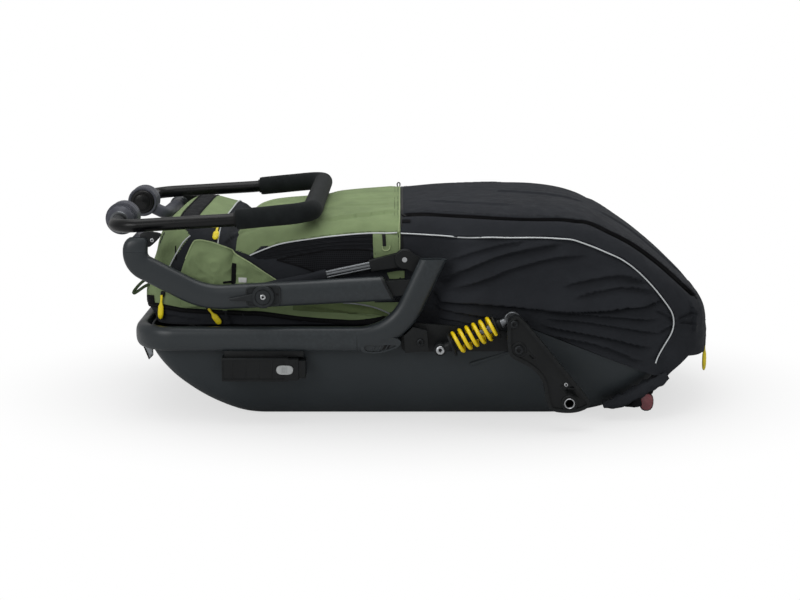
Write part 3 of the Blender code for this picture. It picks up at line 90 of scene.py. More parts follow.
def ray(px, py):
    """Direction from the camera through a pixel of the photograph's frame."""
    ahead = Vector((0, math.cos(CAMERA_PITCH), -math.sin(CAMERA_PITCH)))
    up = Vector((0, math.sin(CAMERA_PITCH), math.cos(CAMERA_PITCH)))
    return (ahead + AXIS_X * (px - 400) / FOCAL + up * (300 - py) / FOCAL).normalized()


def at(px, py, y):
    """The point that a pixel shows on the plane of that Y."""
    direction = ray(px, py)
    return CAMERA_AT + direction * ((y - CAMERA_AT.y) / direction.y)


# Materials

def srgb(*values):
    return tuple((v / 255 / 12.92 if v <= 10 else ((v / 255 + 0.055) / 1.055) ** 2.4) for v in values)


class Nodes:
    """A short way to build a material's nodes."""

    def __init__(self, name):
        self.material = bpy.data.materials.new(name)
        self.material.use_nodes = True
        self.tree = self.material.node_tree
        self.shader = self.tree.nodes["Principled BSDF"]
        self.coords = self.tree.nodes.new("ShaderNodeTexCoord")

    def new(self, kind, settings=(), **inputs):
        node = self.tree.nodes.new("ShaderNode" + kind)
        for key, value in dict(settings).items():
            setattr(node, key, value)
        for key, value in inputs.items():
            numbered = key[0] == "i" and key[1:].isdigit()
            self.put(node.inputs[int(key[1:]) if numbered else key.replace("_", " ")], value)
        return node

    def put(self, socket, value):
        if isinstance(value, bpy.types.NodeSocket):
            self.tree.links.new(value, socket)
        else:
            socket.default_value = value

    def math(self, operation, a, b=0.5):
        return self.new("Math", {"operation": operation}, i0=a, i1=b).outputs[0]

    def noise(self, scale, detail, rough=0.55):
        vector = self.coords.outputs["Object"]
        node = self.new("TexNoise", (), Vector=vector, Scale=scale, Detail=detail, Roughness=rough)
        return node.outputs["Fac"]

    def ramp(self, value, low, high, from_low=0.35, from_high=0.65):
        node = self.new("MapRange", (), Value=value, From_Min=from_low, From_Max=from_high, To_Min=low,
                        To_Max=high)
        return node.outputs[0]

    def mix(self, share, first, second):
        node = self.new("Mix", {"data_type": "RGBA"}, i0=share)
        self.put(node.inputs[6], first)
        self.put(node.inputs[7], second)
        return node.outputs[2]

    def bump(self, height, strength, distance):
        node = self.new("Bump", (), Strength=strength, Distance=distance, Height=height)
        if self.shader.inputs["Normal"].is_linked:
            self.put(node.inputs["Normal"], self.shader.inputs["Normal"].links[0].from_socket)
        self.put(self.shader.inputs["Normal"], node.outputs[0])


def tinted(colour, factor):
    return (*(min(1, c * factor) for c in colour), 1)


def surface(name, colour, rough, metal, tone, tone_scale, grain, rough_spread, coat=0.0, sheen=0.0,
            specular=0.5, wear=0.0):
    """Plastic, paint, metal or rubber: colour and roughness vary a little, with a fine grain as bump."""
    n = Nodes(name)
    shader = n.shader.inputs
    broad = n.noise(tone_scale, 4)
    colours = n.mix(n.ramp(broad, 0, 1), tinted(colour, 1 - tone), tinted(colour, 1 + tone))
    if wear:
        edge = n.ramp(n.new("NewGeometry").outputs["Pointiness"], 0, wear, 0.52, 0.60)
        scratched = n.math("MULTIPLY", edge, n.ramp(n.noise(160, 4), 0, 1, 0.45, 0.6))
        colours = n.mix(scratched, colours, tinted(colour, 3.2))
    n.put(shader["Base Color"], colours)
    n.put(shader["Roughness"], n.ramp(n.noise(tone_scale * 3, 5), rough - rough_spread, rough + rough_spread))
    shader["Metallic"].default_value = metal
    shader["Coat Weight"].default_value = coat
    shader["Coat Roughness"].default_value = 0.12
    shader["Sheen Weight"].default_value = sheen
    shader["Specular IOR Level"].default_value = specular
    n.bump(n.noise(grain[0], 2), grain[1], 0.0004)
    return n.material


def cloth(name, colour, rough=0.85, pitch=0.0011, weave=0.35, sheen=0.06, tone=0.14, crumple=0.35, net=0.0,
          rib=0.0):
    """Woven cloth on UVs in metres, with threads and a soft crumple. A net has holes painted near black, as
    painted shade of the dark inside seen through them; a rib has ridges.
    """
    n = Nodes(name)
    shader = n.shader.inputs
    split = n.new("SeparateXYZ", (), Vector=n.coords.outputs["UV"])
    turns = [n.math("SINE", n.math("MULTIPLY", split.outputs[i], 2 * math.pi / pitch)) for i in (0, 1)]
    threads = n.math("MULTIPLY", turns[0], turns[1])
    broad = n.noise(18, 5)
    shade = n.mix(n.ramp(broad, 0, 1, 0.3, 0.7), tinted(colour, 1 - tone), tinted(colour, 1 + tone))
    shade = n.mix(n.ramp(threads, 0, 1, -1, 1), n.mix(0.12, shade, tinted(colour, 0.4)), shade)
    # The net's holes are painted near black: painted shade of the cabin's inside seen through them.
    if net:
        hole_shade_mask = n.ramp(n.math("MAXIMUM", turns[0], turns[1]), 1, 0, 0.1, 0.5)
        shade = n.mix(n.math("MULTIPLY", hole_shade_mask, net), shade, tinted(colour, 0.12))
    n.put(shader["Base Color"], shade)
    n.put(shader["Roughness"], n.ramp(n.noise(60, 4), rough - 0.07, rough + 0.07))
    shader["Sheen Weight"].default_value = sheen
    shader["Sheen Roughness"].default_value = 0.4
    shader["Specular IOR Level"].default_value = 0.05
    n.bump(n.noise(26, 6, rough=0.6), crumple, 0.006)
    n.bump(n.noise(9, 4), crumple * 0.8, 0.014)
    if rib:
        ridge = n.math("SINE", n.math("MULTIPLY", split.outputs[1], 2 * math.pi / rib))
        n.bump(ridge, 0.6, 0.0012)
    n.bump(threads, weave, 0.0005)
    return n.material


def plastic(name, colour, rough, **more):
    return surface(name, colour, rough, 0, 0.12, 22, (800, 0.2), 0.07, **more)


ANTHRACITE = surface("frame_anthracite", srgb(42, 47, 50), 0.36, 0.05, 0.035, 9, (1400, 0.10), 0.04,
                     specular=0.4, wear=0.2)
TUB = surface("tub_anthracite", srgb(49, 54, 57), 0.46, 0, 0.05, 7, (700, 0.16), 0.05, specular=0.22)
BLACK = plastic("black_plastic", srgb(22, 24, 25), 0.42, specular=0.22, wear=0.25)
SOFT_BLACK = plastic("deep_black_plastic", srgb(17, 18, 19), 0.55, specular=0.2)
SLATE = surface("slate_plastic", srgb(66, 68, 76), 0.45, 0, 0.07, 18, (700, 0.22), 0.07,
                specular=0.3, wear=0.3)
GLOSS = surface("gloss_black_tube", srgb(10, 11, 12), 0.30, 0, 0.15, 14, (400, 0.04), 0.05,
                coat=0.06, specular=0.26)
FOAM = surface("grip_foam", srgb(27, 30, 31), 0.93, 0, 0.16, 40, (520, 0.75), 0.04, sheen=0.03, specular=0.12)
LATCH = plastic("latch_plastic", srgb(35, 38, 40), 0.42, specular=0.22, wear=0.25)
STEEL = surface("bright_steel", srgb(190, 192, 194), 0.27, 1, 0.05, 40, (1200, 0.06), 0.08)
DARK_STEEL = surface("dark_steel", srgb(40, 42, 44), 0.3, 0.7, 0.08, 40, (1200, 0.06), 0.08, specular=0.4)
ALUMINIUM = surface("bow_aluminium", srgb(118, 121, 124), 0.34, 1, 0.06, 30, (900, 0.08), 0.08)
YELLOW = surface("spring_yellow", srgb(246, 214, 12), 0.30, 0, 0.05, 30, (600, 0.1), 0.06, coat=0.35)
PULL = surface("yellow_pull", srgb(240, 218, 20), 0.48, 0, 0.08, 60, (1500, 0.3), 0.06)
GREY = surface("button_grey", srgb(165, 168, 168), 0.46, 0, 0.06, 60, (900, 0.15), 0.06)
MAROON = surface("reflector_red", srgb(112, 50, 56), 0.24, 0, 0.18, 90, (260, 0.5), 0.05, coat=0.4)
SHINE = surface("reflective_tab", srgb(142, 146, 150), 0.35, 0.4, 0.12, 90, (1300, 0.3), 0.08)
PIPING = surface("piping_silver", srgb(204, 208, 210), 0.42, 0.15, 0.05, 120, (1500, 0.3), 0.07)
TAG = surface("white_tag", srgb(206, 208, 205), 0.75, 0, 0.06, 200, (1800, 0.4), 0.05)
THREAD_DARK = surface("dark_thread", srgb(52, 60, 42), 0.8, 0, 0.2, 300, (2400, 0.4), 0.05)
THREAD_GREEN = surface("green_thread", srgb(150, 166, 122), 0.8, 0, 0.12, 300, (2400, 0.4), 0.05)
GREEN = cloth("green_fabric", srgb(130, 147, 107), sheen=0.03)
# A darker copy of the green cloth: painted shade, used on the skirt under the roof tube.
GREEN_PAINTED_SHADE = cloth("green_fabric_painted_shade", srgb(98, 112, 76))
BLACK_CLOTH = cloth("black_fabric", srgb(46, 48, 52), 0.8, sheen=0, tone=0.1)
BAND = cloth("black_band", srgb(33, 34, 37), 0.75, sheen=0.02, rib=0.004, tone=0.1)
# Black net whose holes are painted near black as painted shade of the inside.
NET = cloth("black_net", srgb(36, 37, 40), 0.6, pitch=0.0034, weave=0.5, net=0.9, sheen=0, crumple=0.15)
WEBBING = cloth("black_webbing", srgb(24, 24, 26), 0.7, pitch=0.0018, weave=0.6, sheen=0, crumple=0.1)
WEBBING_GREEN = cloth("green_webbing", srgb(66, 78, 56), 0.75, pitch=0.0018, weave=0.6, sheen=0, crumple=0.1)
MAT = cloth("mat_grey", srgb(92, 94, 96), 0.9, pitch=0.002, weave=0.5)


# Meshes

def finish_mesh(name, bm, material, smooth=35):
    """An object at the origin from a mesh in world space, shaded smooth up to an angle in degrees."""
    bmesh.ops.recalc_face_normals(bm, faces=bm.faces)
    mesh = bpy.data.meshes.new(name)
    bm.to_mesh(mesh)
    bm.free()
    obj = bpy.data.objects.new(name, mesh)
    bpy.context.scene.collection.objects.link(obj)
    for item in material if isinstance(material, (list, tuple)) else [material]:
        obj.data.materials.append(item)
    mesh.shade_smooth()
    mesh.set_sharp_from_angle(angle=math.radians(smooth))
    return obj


def loft(rings, uv=True):
    """A closed mesh through rings of points. UVs are in metres: along the rings' path, then around them."""
    bm = bmesh.new()
    rows = [[bm.verts.new(p) for p in ring] for ring in rings]
    layer = bm.loops.layers.uv.new("UVMap") if uv else None
    count = len(rings[0])
    middle = count // 2
    along, around = [0], [0]
    for a, b in zip(rings, rings[1:]):
        along.append(along[-1] + (Vector(b[middle]) - Vector(a[middle])).length)
    for k in range(count):
        around.append(around[-1] + (Vector(rings[0][(k + 1) % count]) - Vector(rings[0][k])).length)
    for r in range(len(rows) - 1):
        for k in range(count):
            after = (k + 1) % count
            corners = [(r, k), (r, after), (r + 1, after), (r + 1, k)]
            face = bm.faces.new([rows[i][j] for i, j in corners])
            if layer:
                for loop, (i, j) in zip(face.loops, corners):
                    loop[layer].uv = (along[i], around[k + 1] if j == after else around[k])
    bm.faces.new(rows[0][::-1])
    bm.faces.new(rows[-1])
    return bm


def superellipse(a, b, sides=40, power=TUBE_POWER):
    """An oval outline by its half measures, squarer with a higher power."""
    turns = [2 * math.pi * step / sides for step in range(sides)]

    def bent(value):
        return math.copysign(abs(value) ** (2 / power), value)
    return [(bent(math.cos(turn)) * a, bent(math.sin(turn)) * b) for turn in turns]


def rounded_path(corners, radii, step):
    """Straight runs joined by arcs, with one radius for each inner corner."""
    path = [Vector(corners[0])]
    for before, corner, after, radius in zip(corners, corners[1:], corners[2:], radii):
        corner = Vector(corner)
        into = (Vector(before) - corner).normalized()
        out = (Vector(after) - corner).normalized()
        half = into.angle(out) / 2
        centre = corner + (into + out).normalized() * radius / math.sin(half)
        start = corner + into * radius / math.tan(half) - centre
        axis = into.cross(out).normalized()
        steps = max(2, math.ceil((math.pi - 2 * half) / step))
        for k in range(steps + 1):
            path.append(centre + Matrix.Rotation((2 * half - math.pi) * k / steps, 3, axis) @ start)
    path.append(Vector(corners[-1]))
    return path


def between(a, b, c, d, t):
    """A smooth value from b to c, at a share of the way."""
    return 0.5 * (2 * b + (c - a) * t + (2 * a - 5 * b + 4 * c - d) * t * t
                  + (3 * b - a - 3 * c + d) * t ** 3)


def smooth_path(points, steps):
    """A smooth curve through points, as a list of points."""
    pts = [Vector(p) for p in points]
    pts = [2 * pts[0] - pts[1]] + pts + [2 * pts[-1] - pts[-2]]
    out = []
    for corners in zip(pts, pts[1:], pts[2:], pts[3:]):
        out += [between(*corners, k / steps) for k in range(steps)]
    out.append(pts[-2])
    return out


def tangents(path):
    last = len(path) - 1
    return [(path[min(i + 1, last)] - path[max(i - 1, 0)]).normalized() for i in range(last + 1)]


def sweep(path, section, fixed):
    """Rings of the section along the path. Its first measure runs along the fixed axis."""
    rings = []
    for point, tangent in zip(path, tangents(path)):
        across = tangent.cross(fixed).normalized()
        along = across.cross(tangent)
        rings.append([point + along * a + across * b for a, b in section])
    return rings


def mitre(ring, direction, plane_point, plane_normal):
    slope = direction.dot(plane_normal)
    return [p + direction * ((plane_point - p).dot(plane_normal) / slope) for p in ring]


def turned(profile, centre, axis, sides=40):
    """A mesh turned round an axis, from pairs of radius and distance along it."""
    axis = Vector(axis).normalized()
    first = axis.orthogonal().normalized()
    second = axis.cross(first)
    turns = [2 * math.pi * k / sides for k in range(sides)]
    spokes = [first * math.cos(turn) + second * math.sin(turn) for turn in turns]
    return loft([[Vector(centre) + axis * distance + spoke * max(radius, 1e-5) for spoke in spokes]
                 for radius, distance in profile])


def plate_mesh(outline, y_low, y_high, bevel, segments=2):
    """A plate from an XZ outline between two Y places, with softened edges."""
    bm = bmesh.new()
    rows = [[bm.verts.new((x, y, z)) for x, z in outline] for y in (y_low, y_high)]
    bm.faces.new(rows[0])
    bm.faces.new(rows[1][::-1])
    for k in range(len(outline)):
        after = (k + 1) % len(outline)
        bm.faces.new([rows[0][k], rows[1][k], rows[1][after], rows[0][after]])
    if bevel:
        rims = [e for e in bm.edges if abs(e.verts[0].co.y - e.verts[1].co.y) < 1e-7]
        bmesh.ops.bevel(bm, geom=rims, offset=bevel, segments=segments, affect="EDGES", profile=0.5)
    return bm


def box_mesh(low, high, bevel):
    (x0, y0, z0), (x1, y1, z1) = low, high
    bm = plate_mesh([(x0, z0), (x1, z0), (x1, z1), (x0, z1)], y0, y1, 0)
    if bevel:
        bmesh.ops.bevel(bm, geom=bm.edges[:], offset=bevel, segments=2, affect="EDGES", profile=0.5)
    return bm


def round_corners(outline, cuts):
    """A closed outline with its corners cut into curves."""
    pts = [Vector((x, z)) for x, z in outline]
    for _ in range(cuts):
        fresh = []
        for a, b in zip(pts, pts[1:] + pts[:1]):
            fresh += [a.lerp(b, 0.25), a.lerp(b, 0.75)]
        pts = fresh
    return [(p.x, p.y) for p in pts]


def inset(outline, distance):
    """A closed outline moved inwards."""
    pts = [Vector((x, z)) for x, z in outline]
    area = sum(a.x * b.y - b.x * a.y for a, b in zip(pts, pts[1:] + pts[:1]))
    sign = 1 if area > 0 else -1
    moved = []
    for before, here, after in zip(pts[-1:] + pts[:-1], pts, pts[1:] + pts[:1]):
        direction = (after - before).normalized()
        moved.append(here + Vector((-direction.y, direction.x)) * distance * sign)
    return [(p.x, p.y) for p in moved]


def combine(target, bm, operation="DIFFERENCE"):
    """Cut a shape out of an object, or join one to it, and keep the result as plain mesh."""
    tool = finish_mesh("tool", bm, BLACK)
    change = target.modifiers.new("combine", "BOOLEAN")
    change.operation, change.object, change.solver = operation, tool, "EXACT"
    evaluated = target.evaluated_get(bpy.context.evaluated_depsgraph_get())
    mesh = bpy.data.meshes.new_from_object(evaluated)
    target.modifiers.clear()
    old, target.data = target.data, mesh
    bpy.data.meshes.remove(old)
    bpy.data.objects.remove(tool)
    mesh.shade_smooth()
    mesh.set_sharp_from_angle(angle=math.radians(35))


def placed(origin, offsets):
    """An XZ outline of offsets from a place."""
    return [(origin[0] + x, origin[1] + z) for x, z in offsets]


def stands_for(obj, node):
    """The piece rides where a CAD node does, and is shown in its place."""
    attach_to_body(obj, BODY_OF[node])
    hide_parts(node)
    return obj


def add(obj, body):
    """An added piece rides on a body."""
    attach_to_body(obj, body)


def show(name, bm, material, node, smooth=35):
    """A mesh in place of a CAD node."""
    return stands_for(finish_mesh(name, bm, material, smooth), node)


def attach(name, bm, material, body, smooth=35):
    """A mesh added to a body."""
    add(finish_mesh(name, bm, material, smooth), body)


# Main frame

def upright_direction():
    return Vector((math.cos(UPRIGHT_ANGLE), 0, math.sin(UPRIGHT_ANGLE)))


def corner_knee():
    return Vector((SEAM_X + CORNER_RADIUS * math.tan(UPRIGHT_ANGLE / 2), 0, RAIL_Z))


def fold_pivot():
    return corner_knee() + upright_direction() * ((HINGE_Z - RAIL_Z) / math.sin(UPRIGHT_ANGLE))


def folded_direction():
    turn = UPRIGHT_ANGLE + FOLD_ANGLE
    return Vector((math.cos(turn), 0, math.sin(turn)))


def lower_frame():
    corners = [(SEAM_X - SEAM_GAP, -FRAME_HALF, RAIL_Z), (RAIL_FRONT_X, -FRAME_HALF, RAIL_Z)]
    corners += [(x, -y, z) for x, y, z in reversed(corners)]
    path = rounded_path(corners, [FRONT_BEND] * 2, math.radians(3))
    rail = loft(sweep(path, superellipse(TUBE_H, TUBE_W), AXIS_Z))
    show("lower_rail", rail, ANTHRACITE, "lower_frame")


def frame_corner(label, side):
    """Cast corner from the rail up to the fold hinge, with a ribbed recess under its bend."""
    y = side * FRAME_HALF
    up, folded = upright_direction(), folded_direction()
    seam = (SEAM_X, RAIL_Z)
    top = corner_knee() + up * ((UPRIGHT_TOP - RAIL_Z) / math.sin(UPRIGHT_ANGLE))
    path = rounded_path([Vector((SEAM_X, 0, RAIL_Z)), corner_knee(), top], [CORNER_RADIUS], math.radians(3))
    rings = sweep([p + Vector((0, y, 0)) for p in path], superellipse(TUBE_W, TUBE_H), AXIS_Y)
    rings[0] = mitre(rings[0], AXIS_X, Vector((SEAM_X + SEAM_GAP, 0, 0)), AXIS_X)
    rings[-1] = mitre(rings[-1], up, top, AXIS_Z)
    corner = finish_mesh("frame_casting_" + label, loft(rings), ANTHRACITE)
    web = [(0.006, -0.006), (0.006, -0.0212), (0.022, -0.0238), (0.040, -0.0232), (0.055, -0.0192)]
    web = round_corners(placed(seam, web + [(0.0765, -0.0112), (0.0765, 0.002), (0.050, 0.006)]), 2)
    combine(corner, plate_mesh(web, y - side * 0.012, y + side * (TUBE_W - 0.0012), 0.0008), "UNION")
    eye = [(0.012, -0.0085), (0.013, -0.0195), (0.024, -0.0217), (0.040, -0.0210), (0.054, -0.0172)]
    eye = round_corners(placed(seam, eye + [(0.072, -0.0098), (0.056, -0.0086), (0.034, -0.0098)]), 2)
    combine(corner, plate_mesh(eye, y + side * (TUBE_W + 0.004), y + side * (TUBE_W - 0.0050), 0))
    slot_half, slot_radius, slot_reach = 0.0053, 0.0145, 0.074
    pivot = fold_pivot()
    low_edge = math.degrees(UPRIGHT_ANGLE + FOLD_ANGLE) + 90 - 360
    high_edge = math.degrees(UPRIGHT_ANGLE) - 90
    slot = []
    for k in range(13):
        turn = math.radians(low_edge + (high_edge - low_edge) * k / 12)
        slot.append(Vector((pivot.x + slot_radius * math.cos(turn), pivot.z + slot_radius * math.sin(turn))))
    start = slot[0] + Vector((folded.x, folded.z)) * slot_reach
    end = slot[-1] + Vector((up.x, up.z)) * slot_reach
    beyond = start + end - Vector((pivot.x, pivot.z))
    outline = [(p.x, p.y) for p in slot + [end, beyond, start]]
    combine(corner, plate_mesh(outline, y - slot_half, y + slot_half, 0))
    stands_for(corner, "frame_corner_" + label)
    for k in range(3):
        x = SEAM_X + 0.024 + 0.011 * k
        rib = placed((x, RAIL_Z), [(0, -0.0225), (0.0022, -0.0225), (0.0095, -0.009), (0.0073, -0.009)])
        rib = plate_mesh(rib, y + side * 0.0086, y + side * 0.0112, 0.0004)
        attach("corner_rib_%s_%d" % (label, k), rib, ANTHRACITE, "root")
    # A thin black plate on the recess floor stands for the slot through the casting: painted shade.
    window = placed(seam, [(0.043, -0.0182), (0.055, -0.0152), (0.059, -0.0095), (0.048, -0.0100)])
    window = plate_mesh(window, y + side * 0.0088, y + side * 0.0096, 0.0003)
    attach("corner_window_shade_" + label, window, SOFT_BLACK, "root")


def upper_path(side):
    """Centre line of the folded upper tube, from the hinge end to the hub end."""
    pivot, direction = fold_pivot(), folded_direction()
    drop = UPRIGHT_TOP - HINGE_Z + 0.0006
    turn = FOLD_ANGLE + math.pi / 2
    normal = Vector((math.cos(turn), 0, math.sin(turn)))
    end = pivot + direction * (drop / direction.dot(normal))
    low_x, high_x = FRONT_X + 0.110, FRONT_X - 0.009
    low = pivot + direction * ((low_x - pivot.x) / direction.x)
    high, top = Vector((high_x, 0, 0.288)), Vector((high_x, 0, 0.308))
    path = rounded_path([end, low, high, top], [0.130, 0.030], math.radians(3))
    return [p + Vector((0, side * FRAME_HALF, 0)) for p in path], direction, normal


def upper_tube(label, side):
    path, direction, normal = upper_path(side)
    rings = sweep(path, superellipse(TUBE_W, TUBE_H), AXIS_Y)
    rings[0] = mitre(rings[0], direction, path[0], normal)
    show("roof_tube_" + label, loft(rings), ANTHRACITE, "upper_tube_" + label)
    wider = 1.02
    end = sweep(path, superellipse(TUBE_W * wider, TUBE_H * wider), AXIS_Y)[0]
    collar = [mitre(end, direction, path[0] + direction * offset, normal) for offset in (0.0002, 0.0042)]
    attach("roof_tube_cap_" + label, loft(collar), BLACK, "upper_frame")


def latch(label, side):
    """Recessed plate and round turning knob on the roof tube's outer face."""
    pivot, direction = fold_pivot(), folded_direction()
    centre = pivot + direction * ((FRONT_X + 0.213 - pivot.x) / direction.x)
    face = side * (FRAME_HALF + TUBE_W + 0.0003)
    tilt = math.atan2(direction.z, -direction.x)

    def block(points, low, high, bevel):
        """A plate from an outline along the tube, between two heights over its face."""
        c, s = math.cos(tilt), math.sin(tilt)
        outline = [(centre.x + a * c + b * s, centre.z - a * s + b * c) for a, b in points]
        return plate_mesh(outline, face + side * low, face + side * high, bevel)
    base = block(superellipse(0.030, 0.0176, 48, 8), -0.004, 0.0034, 0.0008)
    base = finish_mesh("latch_base_" + label, base, LATCH)
    combine(base, block(superellipse(0.0278, 0.0154, 48, 8), 0.0018, 0.01, 0))
    stands_for(base, "latch_plate_" + label)
    profile = [(0, 0.002), (0.0172, 0.002), (0.0176, 0.0034), (0.0196, 0.0042), (0.0196, 0.0092),
               (0.0186, 0.0104)]
    profile += [(0.0140, 0.0108), (0.0136, 0.0094), (0.0128, 0.0094), (0.0124, 0.0106), (0.0058, 0.0110)]
    profile += [(0.0055, 0.0092), (0, 0.0092)]
    middle = Vector((centre.x, face, centre.z))
    knob = finish_mesh("latch_dial_" + label, turned(profile, middle, (0, side, 0)), LATCH)
    arm = [(-0.010, 0.0075), (-0.030, 0.0042), (-0.058, 0.0002), (-0.0600, -0.0022), (-0.057, -0.0038),
           (-0.010, -0.0075)]
    combine(knob, block(arm, 0.0036, 0.0076, 0.0008), "UNION")
    stands_for(knob, "latch_knob_" + label)
    dial = middle + Vector((0, side * 0.0092, 0))
    screw(dial, side, 0.0052, 0.0016, "latch_screw_" + label, "knob_" + label)
    # The hole is a thin black disc on the plate's floor: painted shade.
    hole = [(0, 0), (0.0022, 0), (0.0022, 0.0006), (0, 0.0006)]
    hole = turned(hole, middle + Vector((0.0245, side * 0.0016, 0.0035)), (0, side, 0), 16)
    attach("latch_hole_shade_" + label, hole, SOFT_BLACK, "upper_frame")


def screw(centre, side, radius, height, name, body, node=None, shaft=0.0, shaft_radius=0.0, material=None):
    """A domed head with a hexagon socket, drawn as a black hexagon of painted shade, facing outwards along Y,
    with its shaft if it has one.
    """
    axis = Vector((0, side, 0))
    profile = [(0, -shaft), (shaft_radius, -shaft), (shaft_radius, 0)] if shaft else [(0, 0)]
    profile += [(radius, 0), (radius, height * 0.45), (radius * 0.9, height * 0.8), (radius * 0.7, height)]
    profile += [(radius * 0.5, height), (radius * 0.46, height * 0.3), (0, height * 0.2)]
    head = finish_mesh(name, turned(profile, centre, axis, 30), material or STEEL)
    add(head, body)
    if node:
        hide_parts(node)
    # The socket is a black hexagon in the head's dish: painted shade of the hole.
    recess = [(0, 0.22), (0.44, 0.22), (0.44, 0.34), (0, 0.34)]
    socket = turned([(a * radius, b * height) for a, b in recess], centre, axis, 6)
    attach(name + "_socket", socket, SOFT_BLACK, body)


def ribbed_dome(label, side):
    """Moving half of the handle hub: a ribbed, stepped dome, and a pale ring where the tube goes in."""
    inner, axis = HUB_PLANE + 0.0003, (0, side, 0)
    profile = [(0.0065, inner), (HUB_RADIUS, inner), (HUB_RADIUS + 0.0004, inner + 0.002)]
    for k in range(4):
        z = inner + 0.0035 + k * 0.0052
        radius = HUB_RADIUS + 0.0004 - 0.0007 * k * k * 0.5
        profile += [(radius, z), (radius, z + 0.0030), (radius - 0.0026, z + 0.0034),
                    (radius - 0.0026, z + 0.0048)]
    profile += [(0.0252, 0.1545), (0.0226, 0.1590), (0.0196, 0.1625), (0.0168, 0.1650), (0.0156, HUB_OUTER)]
    profile += [(0.0123, HUB_OUTER), (0.0121, HUB_OUTER - 0.010)]
    dome = finish_mesh("hub_dome_" + label, turned(profile, HUB, axis, 56), SLATE, 28)
    for k in range(10):
        turn = 2 * math.pi * (k + 0.5) / 10
        spoke = Vector((math.cos(turn), 0, math.sin(turn)))
        low = HUB + spoke * (HUB_RADIUS - 0.004) + Vector((0, side * (inner + 0.0032), 0))
        high = low + Vector((0, side * 0.0215, 0)) - spoke * 0.0016
        combine(dome, loft(sweep([low, high], superellipse(0.0022, 0.0050, 16, 2), spoke)), "UNION")
    stands_for(dome, "hub_shell_" + label)
    ring = [(0.0122, -0.0006), (0.0165, -0.0006), (0.0168, 0.0006), (0.0160, 0.0014), (0.0128, 0.0014),
            (0.0122, 0.0006)]
    ring = turned([(radius, HUB_OUTER + reach) for radius, reach in ring], HUB, axis, 48)
    attach("hub_ring_" + label, ring, ALUMINIUM, "handle")


def hub_fixed_half(label, side):
    """Fixed half of the hub and the casting that joins it to the roof tube's top."""
    axis = Vector((0, side, 0))
    groove = HUB_RADIUS - 0.0016
    profile = [(0, 0.010), (0.0233, 0.010), (0.0233, 0.0006), (0.0262, 0), (0.0284, 0.0012),
               (HUB_RADIUS, 0.0034)]
    profile += [(HUB_RADIUS, 0.0085), (groove, 0.0090), (groove, 0.0105), (HUB_RADIUS, 0.0110)]
    profile = [(radius, HUB_INNER + reach) for radius, reach in profile]
    outer = [(HUB_RADIUS, 0.009), (groove, 0.0085), (groove, 0.0066), (HUB_RADIUS, 0.0060),
             (HUB_RADIUS, 0.0004), (0, 0.0004)]
    profile += [(radius, HUB_PLANE - reach) for radius, reach in outer]
    disc = finish_mesh("hub_housing_" + label, turned(profile, HUB, axis, 56), SLATE, 28)
    top = upper_path(side)[0][-1]
    radius = TUBE_W - 0.0023
    arm_z = HUB.z - HANDLE_R - radius - 0.0015
    elbow = Vector((top.x, top.y, arm_z))
    arm_y = side * (HUB_INNER + HUB_PLANE) / 2
    inner = Vector((top.x - 0.004, arm_y, arm_z))
    end = Vector((HUB.x + 0.012, arm_y, HUB.z - 0.010))
    path = rounded_path([elbow - AXIS_Z * 0.0135, elbow, inner, end], [0.012, 0.014], math.radians(9))
    combine(disc, loft(sweep(path, superellipse(radius, radius * 0.96, 32, 2.3), AXIS_X)), "UNION")
    rings = []
    taper = ((0, 1, 0), (0.25, 1, 0.0004), (0.5, 0.97, 0.0012), (0.7, 0.91, 0.0022), (0.87, 0.82, 0.0034),
             (1, 0.66, 0.0044))
    for share, scale, shift in taper:
        point = Vector((top.x + shift, top.y, top.z + 0.0003 + (arm_z + radius - top.z - 0.0003) * share))
        section = superellipse(TUBE_W * scale, TUBE_H * scale)
        rings += sweep([point, point + AXIS_Z * 0.0001], section, AXIS_Y)[:1]
    attach("hub_collar_" + label, loft(rings), ANTHRACITE, "upper_frame")
    stands_for(disc, "hub_bracket_" + label)


def hub_press(label, side):
    """The round push button in the hub's inner face."""
    axis = Vector((0, side, 0))
    button = [(0, 0.0055), (0.0224, 0.0055), (0.0224, -0.0012), (0.0212, -0.0026), (0.0175, -0.0031),
              (0.0168, -0.0022)]
    button += [(0.0152, -0.0022), (0.0146, -0.0034), (0.009, -0.0046), (0, -0.0050)]
    button = turned(button, HUB + axis * HUB_INNER, axis, 48)
    show("hub_press_" + label, button, GLOSS, "hub_button_" + label)


def hub_gusset(label, side):
    """The plate with one screw at the roof tube's top bend."""
    y, half = FRAME_HALF - 0.004, 0.0045
    outline = ((140, 231.5), (161.5, 232.5), (160.5, 237), (151, 246.5), (147, 247), (141, 240))
    outline = round_corners([at(px, py, -y).xz for px, py in outline], 2)
    gusset = plate_mesh(outline, side * (y - half), side * (y + half), 0.0012)
    attach("hub_gusset_" + label, gusset, BLACK, "upper_frame")
    eye = at(152, 240.2, -y - half)
    eye = Vector((eye.x, side * (y + half), eye.z))
    screw(eye, side, 0.0036, 0.0016, "gusset_screw_" + label, "upper_frame")


def handle_point(distance, side):
    """A point on the handle's side run, which bends a little at a knee."""
    if distance <= HANDLE_KNEE:
        rise = 0.0125 * distance / HANDLE_KNEE
    else:
        rise = 0.0125 + 0.0140 * (distance - HANDLE_KNEE) / 0.143
    return Vector((HUB.x + distance, side * HANDLE_HALF, HUB.z + rise))


